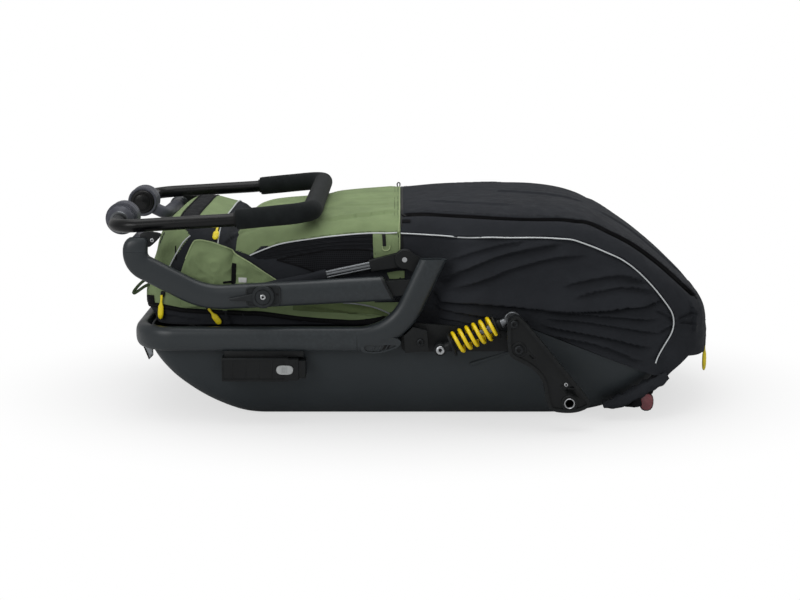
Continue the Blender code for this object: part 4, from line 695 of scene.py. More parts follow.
def handle():
    half = [Vector((HUB.x, 0.0217 - HUB_OUTER, HUB.z))]
    half += [handle_point(distance, -1) for distance in (0, HANDLE_KNEE, HANDLE_REACH)]
    mirrored = [Vector((p.x, -p.y, p.z)) for p in reversed(half)]
    radii = [0.045, 0.4, 0.040]
    path = rounded_path(half + mirrored, radii + radii[::-1], math.radians(4))
    tube = loft(sweep(path, superellipse(HANDLE_R, HANDLE_R, 36, 2), AXIS_Z))
    show("push_bar", tube, GLOSS, "handle_tube")
    ends = ((0.220, -1), (HANDLE_REACH, -1), (HANDLE_REACH, 1), (0.220, 1))
    corners = [handle_point(distance, side) for distance, side in ends]
    path = rounded_path(corners, [0.040] * 2, math.radians(4))
    path = smooth_path(path[:2], 24)[:-1] + path[1:-1] + smooth_path(path[-2:], 24)[1:]
    length = [0]
    for a, b in zip(path, path[1:]):
        length.append(length[-1] + (b - a).length)
    shaped = []
    for point, ring, here in zip(path, sweep(path, superellipse(1, 1, 40, 2), AXIS_Z), length):
        edge = min(here, length[-1] - here)
        radius = FOAM_R * (0.955 + 0.045 * min(1, edge / 0.004)) + 0.0004 * noise.noise(point * 22)
        shaped.append([point + (q - point) * radius for q in ring])
    foam = show("foam_sleeve", loft(shaped), FOAM, "foam_grip")
    for label, side in SIDES:
        line = [handle_point(0.2165, side), handle_point(0.221, side)]
        rim = loft(sweep(line, superellipse(0.0136, 0.0136, 36, 2), AXIS_Z))
        attach("foam_rim_" + label, rim, SOFT_BLACK, "handle")


def bow_direction():
    return Vector((-math.cos(BOW_SLOPE), 0, -math.sin(BOW_SLOPE)))


def bow_pivot(side):
    return BOW_PIVOT + Vector((0, side * BOW_HALF, 0))


def bow_path():
    """Centre line of the bow, from its left end piece round the front to its right one."""
    direction = bow_direction()
    reaches = (0.0205, (FRONT_X + 0.055 - BOW_PIVOT.x) / direction.x)
    corners = [bow_pivot(-1) + direction * reach for reach in reaches]
    corners += [bow_pivot(1) + direction * reach for reach in reaches[::-1]]
    return rounded_path(corners, [0.050] * 2, math.radians(6))


def bow_bar():
    """The cabin's aluminium bow, an oval bar with two grooves along each face."""
    section = []
    for a, b in superellipse(0.0078, 0.0056, 64, 3.4):
        groove = max(math.exp(-((a - c) / 0.0010) ** 2) for c in (-0.0026, 0.0026))
        section.append((a, b * (1 - 0.22 * groove)))
    show("bow_bar", loft(sweep(bow_path(), section, AXIS_Z)), ALUMINIUM, "cabin_bow", 50)


def bow_sleeve():
    """The cloth sleeve round the bow's front, with green cloth at its bend."""
    direction = bow_direction()
    bend = [p for p in bow_path() if p.x < -0.2]
    sleeve_reach = (-0.156 - BOW_PIVOT.x) / direction.x
    legs = [bow_pivot(side) + direction * sleeve_reach for side in (-1, 1)]
    route = [legs[0].lerp(bend[0], k / 24) for k in range(24)] + bend
    route += [bend[-1].lerp(legs[1], k / 24) for k in range(1, 25)]
    rings = []
    for point, ring in zip(route, sweep(route, superellipse(0.0092, 0.0072, 28, 2.6), AXIS_Z)):
        rings.append([q + (q - point) * 0.16 * noise.noise(q * 45) for q in ring])
    sleeve = finish_mesh("bow_sleeve", loft(rings), [BLACK_CLOTH, GREEN], 60)
    for face in sleeve.data.polygons:
        face.material_index = int(face.center.x < -0.36)
    add(sleeve, "bow")


def bow_end(label, side):
    """Plastic end piece of the bow, with a round cap and a screw on its pivot."""
    direction, pivot, half, radius = bow_direction(), bow_pivot(side), 0.0078, 0.0160
    across = Vector((-direction.z, 0, direction.x))
    turn = math.atan2(direction.z, direction.x)
    outline = []
    for k in range(31):
        angle = turn + math.radians(-40 - 280 * k / 30)
        outline.append((pivot.x + radius * math.cos(angle), pivot.z + radius * math.sin(angle)))
    for reach, wide in ((0.030, 0.0112), (0.062, 0.0104), (0.062, -0.0104), (0.030, -0.0112)):
        outline.append((pivot + direction * reach + across * wide).xz)
    end = plate_mesh(outline, side * (BOW_HALF - half), side * (BOW_HALF + half), 0.0014, 3)
    show("bow_end_" + label, end, BLACK, "bow_knuckle_" + label)
    cap = [(0, 0), (0.0172, 0), (0.0180, 0.0010), (0.0180, 0.0036), (0.0168, 0.0050), (0.0140, 0.0054)]
    cap += [(0.0132, 0.0042), (0.0060, 0.0042), (0, 0.0042)]
    face = pivot + Vector((0, side * half, 0))
    attach("bow_cap_" + label, turned(cap, face, (0, side, 0), 48), BLACK, "bow")
    screw(face + Vector((0, side * 0.0042, 0)), side, 0.0062, 0.0020, "bow_screw_" + label, "bow")


# Suspension

def swing_arm_outline():
    """The arm's outline round its pivot and its axle, as in the part's source."""
    upper = [(-0.020, 0.040), (-0.018, 0.052), (-0.006, 0.061), (0.006, 0.056)]
    rear = [(0.026, 0.016), (0.036, 0.004), (0.033, -0.008), (0.008, -0.017), (-0.027, -0.015),
            (-0.037, -0.006)]
    rear += [(-0.042, 0.014), (-0.046, 0.038), (-0.056, 0.054), (-0.074, 0.068)]
    lower = [(-0.012, -0.014), (-0.019, -0.003)]
    return placed(ARM_PIVOT, upper) + placed(ARM_AXLE, rear) + placed(ARM_PIVOT, lower)


def rod_mesh(point, side, profile, sides=48):
    """A mesh turned round an axis across the trailer, through a place in XZ."""
    return turned(profile, (point[0], 0, point[1]), (0, side, 0), sides)


def ring_mesh(point, side, low, high, inner, outer, chamfer):
    profile = [(inner, low), (outer, low), (outer, high - chamfer), (outer - chamfer, high),
               (inner + chamfer, high)]
    return rod_mesh(point, side, profile + [(inner, high - chamfer), (inner, low)])


def arm_moulding(label, side):
    """Moulded arm with a raised rim, bosses for its three bolts and shallow marks in its recess."""
    inner, outer = ARM_OUTER - 0.018, ARM_OUTER

    def block(outline, low, high, bevel=0, segments=2):
        """A plate from an outline, between two places outwards from the middle."""
        return plate_mesh(outline, side * low, side * high, bevel, segments)
    arm = block(round_corners(swing_arm_outline(), 3), inner, outer, 0.0012, 3)
    arm = finish_mesh("arm_moulding_" + label, arm, BLACK)
    recess = round_corners(inset(swing_arm_outline(), 0.0062), 3)
    combine(arm, block(recess, outer - 0.0032, outer + 0.01))
    for point, low, below, radius in ((ARM_PIVOT, 0.2787, 0.001, 0.0134),
                                      (ARM_AXLE, outer - 0.030, 0.0003, 0.0146),
                                      (SHOCK_REAR, 0.3089, 0.001, 0.0085)):
        top = outer - below
        boss = [(0, low), (radius, low), (radius, top - 0.0008), (radius - 0.0008, top),
                (radius - 0.0026, top)]
        boss += [(radius - 0.0030, top - 0.0009), (0, top - 0.0009)]
        combine(arm, rod_mesh(point, side, boss), "UNION")
    marks = [placed(ARM_PIVOT, ((0.012, -0.006), (0.026, -0.020), (0.030, -0.016), (0.017, -0.001)))]
    for x, z, w, h in ((-0.009, 0.0325, 0.0055, 0.0012), (0.004, 0.0265, 0.0075, 0.0012),
                       (-0.014, 0.029, 0.0012, 0.0055)):
        marks.append(placed((ARM_AXLE[0] + x, ARM_AXLE[1] + z), ((-w, -h), (w, -h), (w, h), (-w, h))))
    for mark in marks:
        combine(arm, block(mark, outer - 0.0038, outer - 0.0022, 0.0003, 1), "UNION")
    slot = placed(ARM_PIVOT, ((0.0175, -0.0095), (0.0245, -0.0165), (0.0262, -0.0148), (0.0192, -0.0078)))
    combine(arm, block(slot, outer - 0.006, outer + 0.001))
    for point, radius in ((ARM_PIVOT, 0.0065), (ARM_AXLE, 0.0096), (SHOCK_REAR, 0.0045)):
        combine(arm, rod_mesh(point, side, [(radius, 0.26), (radius, outer + 0.01)], 40))
    arm.data.materials.clear()
    arm.data.materials.append(BLACK)
    stands_for(arm, "swing_arm_" + label)


def arm_fittings(label, side):
    """The axle's sleeve and liner, and the bolts and screws of the arm and its shock."""
    outer, body = ARM_OUTER, "arm_" + label
    bush = ring_mesh(ARM_AXLE, side, outer - 0.030, outer, 0.0074, 0.0093, 0.0006)
    show("axle_sleeve_" + label, bush, STEEL, "axle_bush_" + label)
    liner = ring_mesh(ARM_AXLE, side, outer - 0.0285, outer - 0.002, 0.0070, 0.0075, 0.0001)
    attach("axle_liner_" + label, liner, ALUMINIUM, body)
    bracket_bolt = at(420.3, 342.8, -0.2995)
    arm_screw = (ARM_AXLE[0] - 0.0065, ARM_AXLE[1] + 0.0335)
    for name, rides, point, y, radius, height, node, shaft, shaft_radius, material in (
            ("pivot_bolt_", "root", ARM_PIVOT, outer - 0.0007, 0.0078, 0.0030,
             "arm_pivot_bolt_", 0.073, 0.0062, DARK_STEEL),
            ("shock_pin_", body, SHOCK_REAR, outer + 0.0003, 0.0065, 0.0025,
             "shock_rear_pin_", 0.049, 0.0042, DARK_STEEL),
            ("shock_bolt_", "root", SHOCK_FRONT, SHOCK_Y + 0.0073, 0.0078, 0.0035,
             "shock_front_bolt_", 0.036, 0.0042, None),
            ("bracket_bolt_", "root", bracket_bolt.xz, 0.2965, 0.0066, 0.0034, None, 0, 0, DARK_STEEL),
            ("arm_screw_", body, arm_screw, outer - 0.0033, 0.0036, 0.0016, None, 0, 0, None)):
        centre = Vector((point[0], side * y, point[1]))
        stands = node and node + label
        screw(centre, side, radius, height, name + label, rides, stands, shaft, shaft_radius, material)


def shock(label, side):
    """Damper, rod and coil spring between the bracket and the arm."""
    front = Vector((SHOCK_FRONT[0], side * SHOCK_Y, SHOCK_FRONT[1]))
    rear = Vector((SHOCK_REAR[0], side * SHOCK_Y, SHOCK_REAR[1]))
    along = (rear - front).normalized()
    length = (rear - front).length

    def eye(obj, place, outer, flat, bore):
        """An eye with a bore across the end of the damper or the rod, by its radii."""
        profile = [(0, -0.0070), (flat, -0.0070), (outer, -0.0062), (outer, 0.0062), (flat, 0.0070),
                   (0, 0.0070)]
        combine(obj, turned(profile, place, AXIS_Y, 40), "UNION")
        combine(obj, turned([(bore, -0.02), (bore, 0.02)], place, AXIS_Y, 32))
    profile = [(0, 0.0085), (0.0075, 0.0085), (0.0085, 0.0105), (0.0085, 0.0190), (0.0110, 0.0195),
               (0.0208, 0.0200)]
    profile += [(0.0215, 0.0208), (0.0215, 0.0238), (0.0205, 0.0245), (0.0150, 0.0246), (0.0148, 0.0262),
                (0.0085, 0.0265)]
    profile += [(0.0085, 0.0700), (0.0078, 0.0718), (0.0054, 0.0720), (0.0054, 0.029), (0, 0.029)]
    body = finish_mesh("damper_" + label, turned(profile, front, along, 48), BLACK)
    eye(body, front, 0.0110, 0.0102, 0.0045)
    stands_for(body, "damper_body_" + label)
    profile = [(0, 0.046), (0.0050, 0.046), (0.0050, 0.0905), (0.0085, 0.0908), (0.0085, 0.1000),
               (0.0148, 0.1002)]
    profile += [(0.0150, 0.1030), (0.0205, 0.1036), (0.0215, 0.1044), (0.0215, 0.1062), (0.0205, 0.1072),
                (0.0125, 0.1076)]
    profile += [(0.0110, 0.1090), (0.0110, 0.1135), (0.0085, 0.1150), (0.0085, length - 0.0110),
                (0, length - 0.0110)]
    rod = finish_mesh("piston_" + label, turned(profile, front, along, 48), ALUMINIUM)
    eye(rod, rear, 0.0145, 0.0135, 0.0050)
    rod.data.materials.clear()
    rod.data.materials.append(ALUMINIUM)
    rod.data.materials.append(BLACK)
    for face in rod.data.polygons:
        face.material_index = 1 if 0.0995 < (face.center - front).dot(along) < 0.1185 else 0
    stands_for(rod, "damper_rod_" + label)
    upward = Vector((-along.z, 0, along.x))
    turns, mean, wire, spring_start, spring_length = 5.6, 0.0182, 0.0033, 0.0275, 0.073
    points = []
    for step in range(int(turns * 40) + 1):
        share = step / (turns * 40)
        turn = 2 * math.pi * turns * share
        distance = spring_start + spring_length * share
        points.append(front + along * distance + AXIS_Y * mean * math.cos(turn)
                      + upward * mean * math.sin(turn))
    coil = loft(sweep(points, superellipse(wire, wire, 16, 2), along))
    coil = show("coil_" + label, coil, YELLOW, "coil_spring_" + label, 60)
    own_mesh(coil)


# Tub and small fittings

RIM_Z, RIM_BEND, RIM_SLOPE, TUB_REAR = 0.170, 0.198, math.tan(math.radians(21.6)), 0.507


def tub_rim(x):
    return RIM_Z - max(0, x - RIM_BEND) * RIM_SLOPE


def plan_ring(x_front, x_rear, half, front_radius, rear_radius, z, steps):
    """A level ring with rounded corners, two radii and evenly divided sides."""
    rear, front = (x_rear - rear_radius, half - rear_radius), (x_front + front_radius, half - front_radius)
    corners = ((*rear, rear_radius, 0), (*front, front_radius, 90), (front[0], -front[1], front_radius, 180),
               (rear[0], -rear[1], rear_radius, 270))
    ring = []

    def on_arc(corner, degrees):
        turn = math.radians(degrees)
        return Vector((corner[0] + corner[2] * math.cos(turn), corner[1] + corner[2] * math.sin(turn), z))
    for index, corner in enumerate(corners):
        ring += [on_arc(corner, corner[3] + 90 * step / steps) for step in range(steps + 1)]
        ahead = corners[(index + 1) % 4]
        leave, arrive = ring[-1].copy(), on_arc(ahead, ahead[3])
        count = (60, 30)[index % 2]
        ring += [leave.lerp(arrive, k / count) for k in range(1, count)]
    return ring


def spline(values, share):
    """A smooth value through rows of numbers, at a share of the way."""
    place = share * (len(values) - 1)
    k = min(int(place), len(values) - 2)
    corners = [Vector(values[min(max(i, 0), len(values) - 1)]) for i in (k - 1, k, k + 1, k + 2)]
    return between(*corners, place - k)


def floor_tub():
    """Moulded tub with rolled lower edges, a ledge on each side and a sloping rear rim."""
    stations = [(0.000, 0.165, 0.160, 0.068), (0.004, 0.146, 0.142, 0.054), (0.014, 0.124, 0.118, 0.042)]
    stations += [(0.030, 0.096, 0.093, 0.030), (0.050, 0.068, 0.066, 0.019), (0.078, 0.036, 0.035, 0.009)]
    stations += [(0.110, 0.010, 0.012, 0.003), (0.134, 0.000, 0.004, 0.000), (RIM_Z, 0.000, 0.000, 0.000)]
    front, half = RAIL_FRONT_X + TUBE_W + 0.0006, FRAME_HALF - TUBE_W - 0.0006
    corner = FRONT_BEND - TUBE_W - 0.0006
    skins = []
    for wall, count in ((0, 56), (0.003, 20)):
        rings = []
        for step in range(count + 1):
            place = [max(0, v) for v in spline(stations, step / count)]
            z = place[0] + wall * (1 - place[0] / RIM_Z)
            ends = (front + place[1] + wall, TUB_REAR - place[2] - wall, half - place[3] - wall)
            rings.append(plan_ring(*ends, corner - wall, 0.120 - wall, z, 14))
        skins.append(rings)
    tub = finish_mesh("tub_moulding", loft(skins[0] + skins[1][::-1]), TUB, 40)
    reach = TUB_REAR + 0.05 - RIM_BEND
    wedge = [(0, 0.1702), (reach, 0.1702 - RIM_SLOPE * reach), (reach, 0.20), (0, 0.20)]
    wedge = placed((RIM_BEND, 0), wedge)
    combine(tub, plate_mesh(wedge, -0.3, 0.3, 0))
    stands_for(tub, "floor_tub")
    ledge_y = 0.2690
    for label, side in SIDES:
        edge = ((470, 364.6), (473.6, 363.3), (491, 357.8), (508.8, 352), (513, 350.6))
        points = [at(px, py, -ledge_y) for px, py in edge]
        route = [Vector((p.x, side * ledge_y, p.z)) for p in points]
        ledge = loft(sweep(route, superellipse(0.0018, 0.0028, 20, 2.5), AXIS_Y))
        attach("tub_ledge_" + label, ledge, TUB, "root")


def tow_socket():
    """Channel for the tow arm under the left rail, with a stepped block behind that holds a press button."""
    x0, x1, z0, z1 = -0.339, -0.192, 0.080, 0.122
    inner, outer = -(FRAME_HALF - TUBE_W), -0.302
    split = x1 - 0.034

    def block(start, end, out, back, margin, bevel):
        """A box between two X places and two Y places, that far in from the channel's bottom and top."""
        return box_mesh((start, out, z0 + margin), (end, back, z1 - margin), bevel)
    body = finish_mesh("tow_channel", block(x0, split + 0.004, outer, inner, 0, 0.0010), BLACK)
    combine(body, block(x0 - 0.02, x1 - 0.052, outer + 0.003, inner - 0.003, 0.003, 0))
    combine(body, block(x0 + 0.002, split - 0.003, outer - 0.01, outer + 0.0016, 0.0042, 0))
    combine(body, block(split, x1 - 0.012, outer, inner, 0.0018, 0.0016), "UNION")
    combine(body, block(x1 - 0.014, x1, outer + 0.0022, inner, 0.0050, 0.0016), "UNION")
    web_top = (x1 - 0.004, -FRAME_HALF + 0.004, RAIL_Z - TUBE_H + 0.001)
    combine(body, box_mesh((x0 + 0.004, -FRAME_HALF - 0.004, z1 - 0.001), web_top, 0.0006), "UNION")
    for k in range(4):
        x = x0 + 0.018 + 0.023 * k
        combine(body, block(x, x + 0.0016, outer + 0.0010, outer + 0.0020, 0.0045, 0.0003), "UNION")
    middle = (-0.2285, 0.101)
    pocket = placed(middle, superellipse(0.0150, 0.0085, 48, 3))
    combine(body, plate_mesh(pocket, outer - 0.01, outer + 0.0117, 0))
    stands_for(body, "tow_socket")
    button = placed(middle, superellipse(0.0145, 0.0080, 48, 3))
    press = finish_mesh("tow_press", plate_mesh(button, outer + 0.007, outer - 0.0015, 0.0012, 3), GREY)
    for shift in (-0.0034, 0, 0.0034):
        low = (middle[0] + shift - 0.0007, outer - 0.003, middle[1] - 0.0052)
        high = (middle[0] + shift + 0.0007, outer - 0.0007, middle[1] + 0.0052)
        combine(press, box_mesh(low, high, 0))
    stands_for(press, "tow_button")


def front_tab():
    """Reflective tab on a black flap, sewn under the front bend of the rail."""
    top = RAIL_Z - TUBE_H - 0.0003
    x, y = FRONT_X + 0.014, -(FRAME_HALF - 0.045)
    flap = placed((x, top), [(-0.022, 0), (-0.004, 0), (-0.004, -0.018), (-0.012, -0.026)])
    show("tab_flap", plate_mesh(flap, y - 0.0014, y + 0.0014, 0.0004), SOFT_BLACK, "front_tab")
    face = placed((x, top), [(-0.0185, -0.002), (-0.0045, -0.002), (-0.0045, -0.0165), (-0.0105, -0.0225)])
    attach("tab_reflector", plate_mesh(face, y - 0.0022, y - 0.0010, 0.0003), SHINE, "root")
    for k in range(2):
        drawn = 0.1 + 0.12 * k
        kept = 1 - drawn
        row = [(px * kept + (x - 0.010) * drawn, pz * kept + (top - 0.010) * drawn) for px, pz in face]
        path = [Vector((px, y - 0.0024, pz)) for px, pz in row + row[:1]]
        stitches("tab_stitch_%d" % k, path, THREAD_DARK, lambda thread: add(thread, "root"))


def stitches(name, path, material, place, pitch=0.0040, length=0.0026, radius=0.00035):
    """A row of short threads along a path, handed to a function that places it."""
    bm = bmesh.new()
    turns = [2 * math.pi * k / 5 for k in range(5)]
    reach, here = 0.0, 0.0
    for a, b in zip(path, path[1:]):
        span = (b - a).length
        while here + length < reach + span:
            if here >= reach:
                start, end = a.lerp(b, (here - reach) / span), a.lerp(b, (here + length - reach) / span)
                across = (end - start).cross(AXIS_Y)
                if across.length < 1e-6:
                    across = (end - start).cross(AXIS_Z)
                across.normalize()
                out = (end - start).cross(across).normalized()
                rows = []
                for share, scale in ((0, 0.3), (0.2, 1), (0.8, 1), (1, 0.3)):
                    middle = start.lerp(end, share)
                    ring = [middle + (across * math.cos(t) + out * math.sin(t)) * radius * scale
                            for t in turns]
                    rows.append([bm.verts.new(point) for point in ring])
                for low, high in zip(rows, rows[1:]):
                    for k in range(5):
                        bm.faces.new([low[k], low[(k + 1) % 5], high[(k + 1) % 5], high[k]])
                bm.faces.new(rows[0][::-1])
                bm.faces.new(rows[-1])
            here += pitch
        reach += span
    place(finish_mesh(name, bm, material))


def rear_reflector():
    """Red reflector in a black frame, on a creased strap."""
    y = -(FRAME_HALF - TUBE_W - 0.0075)
    x0, x1, z0, z1 = 0.401, 0.4225, 0.0185, 0.0500
    lens = round_corners([(x0, z1), (x0 - 0.001, z0 + 0.002), (x1 - 0.001, z0), (x1 + 0.001, z1 - 0.002)], 2)
    lens = plate_mesh(lens, y - 0.0030, y + 0.0010, 0.0010, 3)
    show("reflector_lens", lens, MAROON, "rear_reflector")
    rim = round_corners(inset([(x0, z1), (x0 - 0.001, z0), (x1, z0), (x1, z1)], -0.0016), 2)
    rim = plate_mesh(rim, y - 0.0016, y + 0.0014, 0.0006)
    attach("reflector_frame", rim, SOFT_BLACK, "root")
    strap_x, strap_end = 0.427, 0.044
    section = ((-1, 0), (-0.5, -0.0006), (0, -0.0008), (0.5, -0.0006), (1, 0), (1, 0.0010), (0, 0.0010),
               (-1, 0.0010))
    rows = []
    for step in range(15):
        share = step / 14
        x = strap_x - 0.012 * share
        z = tub_rim(strap_x) + 0.003 - (tub_rim(strap_x) - strap_end) * share
        fold = 0.0012 * math.sin(share * 11)
        ring = []
        for w, t in section:
            out = y - 0.0004 + fold * (1 - abs(w) * 0.4) + t
            ring.append(Vector((x + w * 0.0065, out, z + 0.002 * w * share)))
        rows.append(ring)
    attach("reflector_strap", loft(rows), WEBBING, "root")


def reflector_tie():
    """The creased strap under the tub that ties the reflector."""
    stops = ((612, 401, -0.19), (622, 402.6, -0.232), (632, 403.6, -0.262), (641, 402, -0.2772))
    route = smooth_path([at(*stop) for stop in stops], 6)
    rings = []
    for ring in sweep(route, superellipse(0.0068, 0.0014, 28, 3), AXIS_Z):
        rings.append([q + Vector((0, 1, 0.6)) * 0.0030 * noise.noise(q * 130) for q in ring])
    attach("reflector_tie", loft(rings), WEBBING, "root", 60)


def hem_tuck():
    """The tucked fold of cloth under the rear hem."""
    tuck_y = -0.257
    stops = ((603, 404.7, 0.0049), (614, 402.5, 0.0081), (626, 398.2, 0.0112), (638, 392.2, 0.0112),
             (650, 385, 0.0108), (661, 378, 0.0106), (667, 374.5, 0.0068))
    route = smooth_path([at(px, py, tuck_y) for px, py, bulge in stops], 6)
    rings = []
    for number, ring in enumerate(sweep(route, superellipse(0.0135, 1, 32, 2.4), AXIS_Y)):
        share = number / (len(route) - 1) * (len(stops) - 1)
        low = min(int(share), len(stops) - 2)
        bulge = stops[low][2] + (stops[low + 1][2] - stops[low][2]) * (share - low)
        middle = route[number]
        off = [q - middle for q in ring]
        ring = [middle + Vector((p.x * bulge, p.y, p.z * bulge)) for p in off]
        rings.append([q + Vector((0, 0.8, 1)) * 0.0040 * noise.noise(q * 85) for q in ring])
    attach("hem_tuck", loft(rings), BLACK_CLOTH, "root", 60)


def floor_mat():
    """The dog's padded mat on the tub's floor, quilted in rows."""
    low, high, rows = 0.0034, 0.0182, []
    for share, extra in ((0, 0.013), (0.12, 0.006), (0.4, 0.0042), (0.7, 0.0046), (0.9, 0.008), (1, 0.014)):
        ends = (FRONT_X + TUBE_W + 0.165 + extra, TUB_REAR - 0.160 - extra,
                FRAME_HALF - TUBE_W - 0.0686 - extra)
        rows.append(plan_ring(*ends, 0.06, 0.10, low + (high - low) * share, 12))
    bm = loft(rows, uv=False)
    lid = [f for f in bm.faces if len(f.verts) > 4]
    bmesh.ops.delete(bm, geom=[f for f in lid if f.calc_center_median().z > low + 0.01], context="FACES_ONLY")
    rim = rows[-1]
    centre = sum(rim, Vector()) / len(rim)
    before = [v for v in bm.verts if abs(v.co.z - high) < 1e-6]
    before.sort(key=lambda v: min(range(len(rim)), key=lambda k: (rim[k] - v.co).length))
    for step in range(1, 19):
        inner = []
        for point in rim:
            place = point.lerp(centre, step / 18 * 0.985)
            rows_x, rows_y = (math.exp(-((abs(math.sin(v * 26)) / 0.16) ** 2)) for v in (place.x, place.y))
            dip = 0.0022 * min(1, rows_x + rows_y) * min(1, step / 2)
            place.z = high + 0.0003 - dip + 0.0004 * noise.noise(place * 30)
            inner.append(bm.verts.new(place))
        for k in range(len(rim)):
            after = (k + 1) % len(rim)
            bm.faces.new([before[k], before[after], inner[after], inner[k]])
        before = inner
    bm.faces.new(before)
    mat = show("quilted_mat", bm, MAT, "floor_mat", 50)


def soften_cad(node, material, bevel=0.0006):
    """A CAD piece that stays: joined facets, smooth shading up to an angle and small bevels on edges."""
    obj = NODES[node]
    slots = obj.data.materials
    if not slots:
        slots.append(material)
    for index in range(len(slots)):
        slots[index] = material
    soft = obj.modifiers.new("soften", "NODES")
    soft.node_group = bpy.data.node_groups.get("soften") or soften_group()
    if bevel:
        edge = obj.modifiers.new("edges", "BEVEL")
        edge.width, edge.segments, edge.limit_method, edge.angle_limit = bevel, 2, "ANGLE", math.radians(40)


def soften_group():
    """Nodes that join a mesh's facets and shade it smooth except on its hard edges."""
    group = bpy.data.node_groups.new("soften", "GeometryNodeTree")
    for kind in ("INPUT", "OUTPUT"):
        group.interface.new_socket("Geometry", in_out=kind, socket_type="NodeSocketGeometry")
    kinds = ("NodeGroupInput", "NodeGroupOutput", "GeometryNodeMergeByDistance", "GeometryNodeSetShadeSmooth",
             "GeometryNodeInputMeshEdgeAngle", "FunctionNodeCompare", "GeometryNodeSetShadeSmooth")
    start, end, merge, flat, angle, above, smooth = (group.nodes.new(kind) for kind in kinds)
    merge.inputs["Distance"].default_value = 0.00002
    flat.domain = "EDGE"
    flat.inputs["Shade Smooth"].default_value = False
    above.inputs[1].default_value = math.radians(35)
    for source, target in (
            (start.outputs[0], merge.inputs[0]), (merge.outputs[0], smooth.inputs[0]),
            (smooth.outputs[0], flat.inputs[0]), (angle.outputs["Unsigned Angle"], above.inputs[0]),
            (above.outputs[0], flat.inputs["Selection"]), (flat.outputs[0], end.inputs[0])):
        group.links.new(source, target)
    return group


# Build the rigid pieces

lower_frame()
handle()
bow_bar()
bow_sleeve()
for label, side in SIDES:
    bow_end(label, side)
floor_tub()
tow_socket()
front_tab()
rear_reflector()
reflector_tie()
hem_tuck()
for label, side in SIDES:
    frame_corner(label, side)
    upper_tube(label, side)
    latch(label, side)
    ribbed_dome(label, side)
    hub_fixed_half(label, side)
    hub_press(label, side)
    hub_gusset(label, side)
    arm_moulding(label, side)
    arm_fittings(label, side)
    shock(label, side)
    soften_cad("hinge_arm_" + label, BLACK)
    soften_cad("hinge_pin_" + label, STEEL, 0)
    soften_cad("bow_bracket_" + label, BLACK, 0.0005)
    soften_cad("bow_pin_" + label, STEEL, 0)
    soften_cad("suspension_bracket_" + label, BLACK, 0.0008)
soften_cad("upper_cross_tube", ALUMINIUM, 0)
floor_mat()


# Cloth

GREEN_STATIONS = [
    (-0.4684, 0.188, 0.290, 4), (-0.4574, 0.221, 0.328, 4), (-0.4374, 0.237, 0.350, 4),
    (-0.4094, 0.243, 0.356, 4.5), (-0.3624, 0.243, 0.346, 4.5), (-0.336, 0.243, 0.337, 4.4),
    (-0.323, 0.238, 0.325, 4), (-0.303, 0.243, 0.339, 4), (-0.271, 0.243, 0.348, 4.5),
    (-0.182, 0.243, 0.3555, 5), (-0.132, 0.243, 0.363, 5), (-0.0272, 0.243, 0.370, 5)
]
REAR_STATIONS = [
    (-0.0268, 0.243, 0.370, 5), (0.038, 0.243, 0.3765, 5), (0.083, 0.271, 0.378, 4.5),
    (0.173, 0.271, 0.379, 4.5), (0.243, 0.271, 0.377, 4.5), (0.298, 0.271, 0.369, 4.2),
    (0.348, 0.271, 0.350, 4), (0.408, 0.266, 0.312, 3.6), (0.453, 0.256, 0.277, 3.4),
    (0.488, 0.236, 0.246, 3.2), (0.518, 0.193, 0.214, 3.1), (0.541, 0.108, 0.184, 3),
    (0.556, 0.036, 0.140, 3)
]
SEAM = [(402, 214), (424, 213), (462, 215), (520, 218), (560, 218.4), (575, 220), (588, 221.5), (605, 229),
        (632.7, 243.5), (660.4, 264), (682.6, 284), (696, 296)]
PIPE_FRONT = [(249.5, 254.6), (277.7, 243.8), (306, 239), (338.5, 235), (372, 232.4), (400, 233)]
PIPE_REAR = [(400.6, 233), (420, 233.3), (453.3, 236.6), (503, 237), (549.5, 237), (577, 240), (605, 250.5),
             (629, 262.5), (651.2, 283), (666, 301.4), (674, 315), (673.5, 331), (664, 347), (655, 363)]


def pixel_path(line, steps=10):
    """A smooth curve through places in the photograph's frame."""
    return [(p.x, p.y) for p in smooth_path([(x, y, 0) for x, y in line], steps)]


def pixels_of(points):
    """Where points lie in the photograph's frame, those of the far side as if they were on the near side."""
    x, y, z = (points[..., i] for i in range(3))
    across, away, up = x - CAMERA_AT.x, -np.abs(y) - CAMERA_AT.y, z - CAMERA_AT.z
    c, s = math.cos(CAMERA_PITCH), math.sin(CAMERA_PITCH)
    depth = away * c - up * s
    return np.stack([400 + FOCAL * across / depth, 300 - FOCAL * (away * s + up * c) / depth], -1)


def at_station(stations, x):
    """The cross section at a place along X, on a smooth curve through the stations."""
    last = len(stations) - 1
    k = max(i for i in range(last) if stations[i][0] <= x or i == 0)
    a, b, c, d = (np.array(stations[min(max(i, 0), last)]) for i in (k - 1, k, k + 1, k + 2))
    span = c[0] - b[0]
    t = (x - b[0]) / span
    into = (c - a) / max(c[0] - a[0], 1e-9) * span
    out = (d - b) / max(d[0] - b[0], 1e-9) * span
    return ((2 * t ** 3 - 3 * t * t + 1) * b + (t ** 3 - 2 * t * t + t) * into
            + (3 * t * t - 2 * t ** 3) * c + (t ** 3 - t * t) * out)


def cloth_ring(x, half, low, high, power, wall, arc):
    """Half a cross section's outline from its left hem over the top to its right hem."""
    middle = (low + high) / 2
    ring = [(x, -half, low + (middle - low) * k / wall) for k in range(wall)]
    for k in range(arc + 1):
        turn = math.pi * (1 - k / arc)
        a, b = math.cos(turn), math.sin(turn)
        scale = (abs(a) ** power + abs(b) ** power) ** (-1 / power)
        ring.append((x, half * a * scale, middle + (high - middle) * b * scale))
    return ring + [(x, half, middle + (low - middle) * k / wall) for k in range(1, wall + 1)]


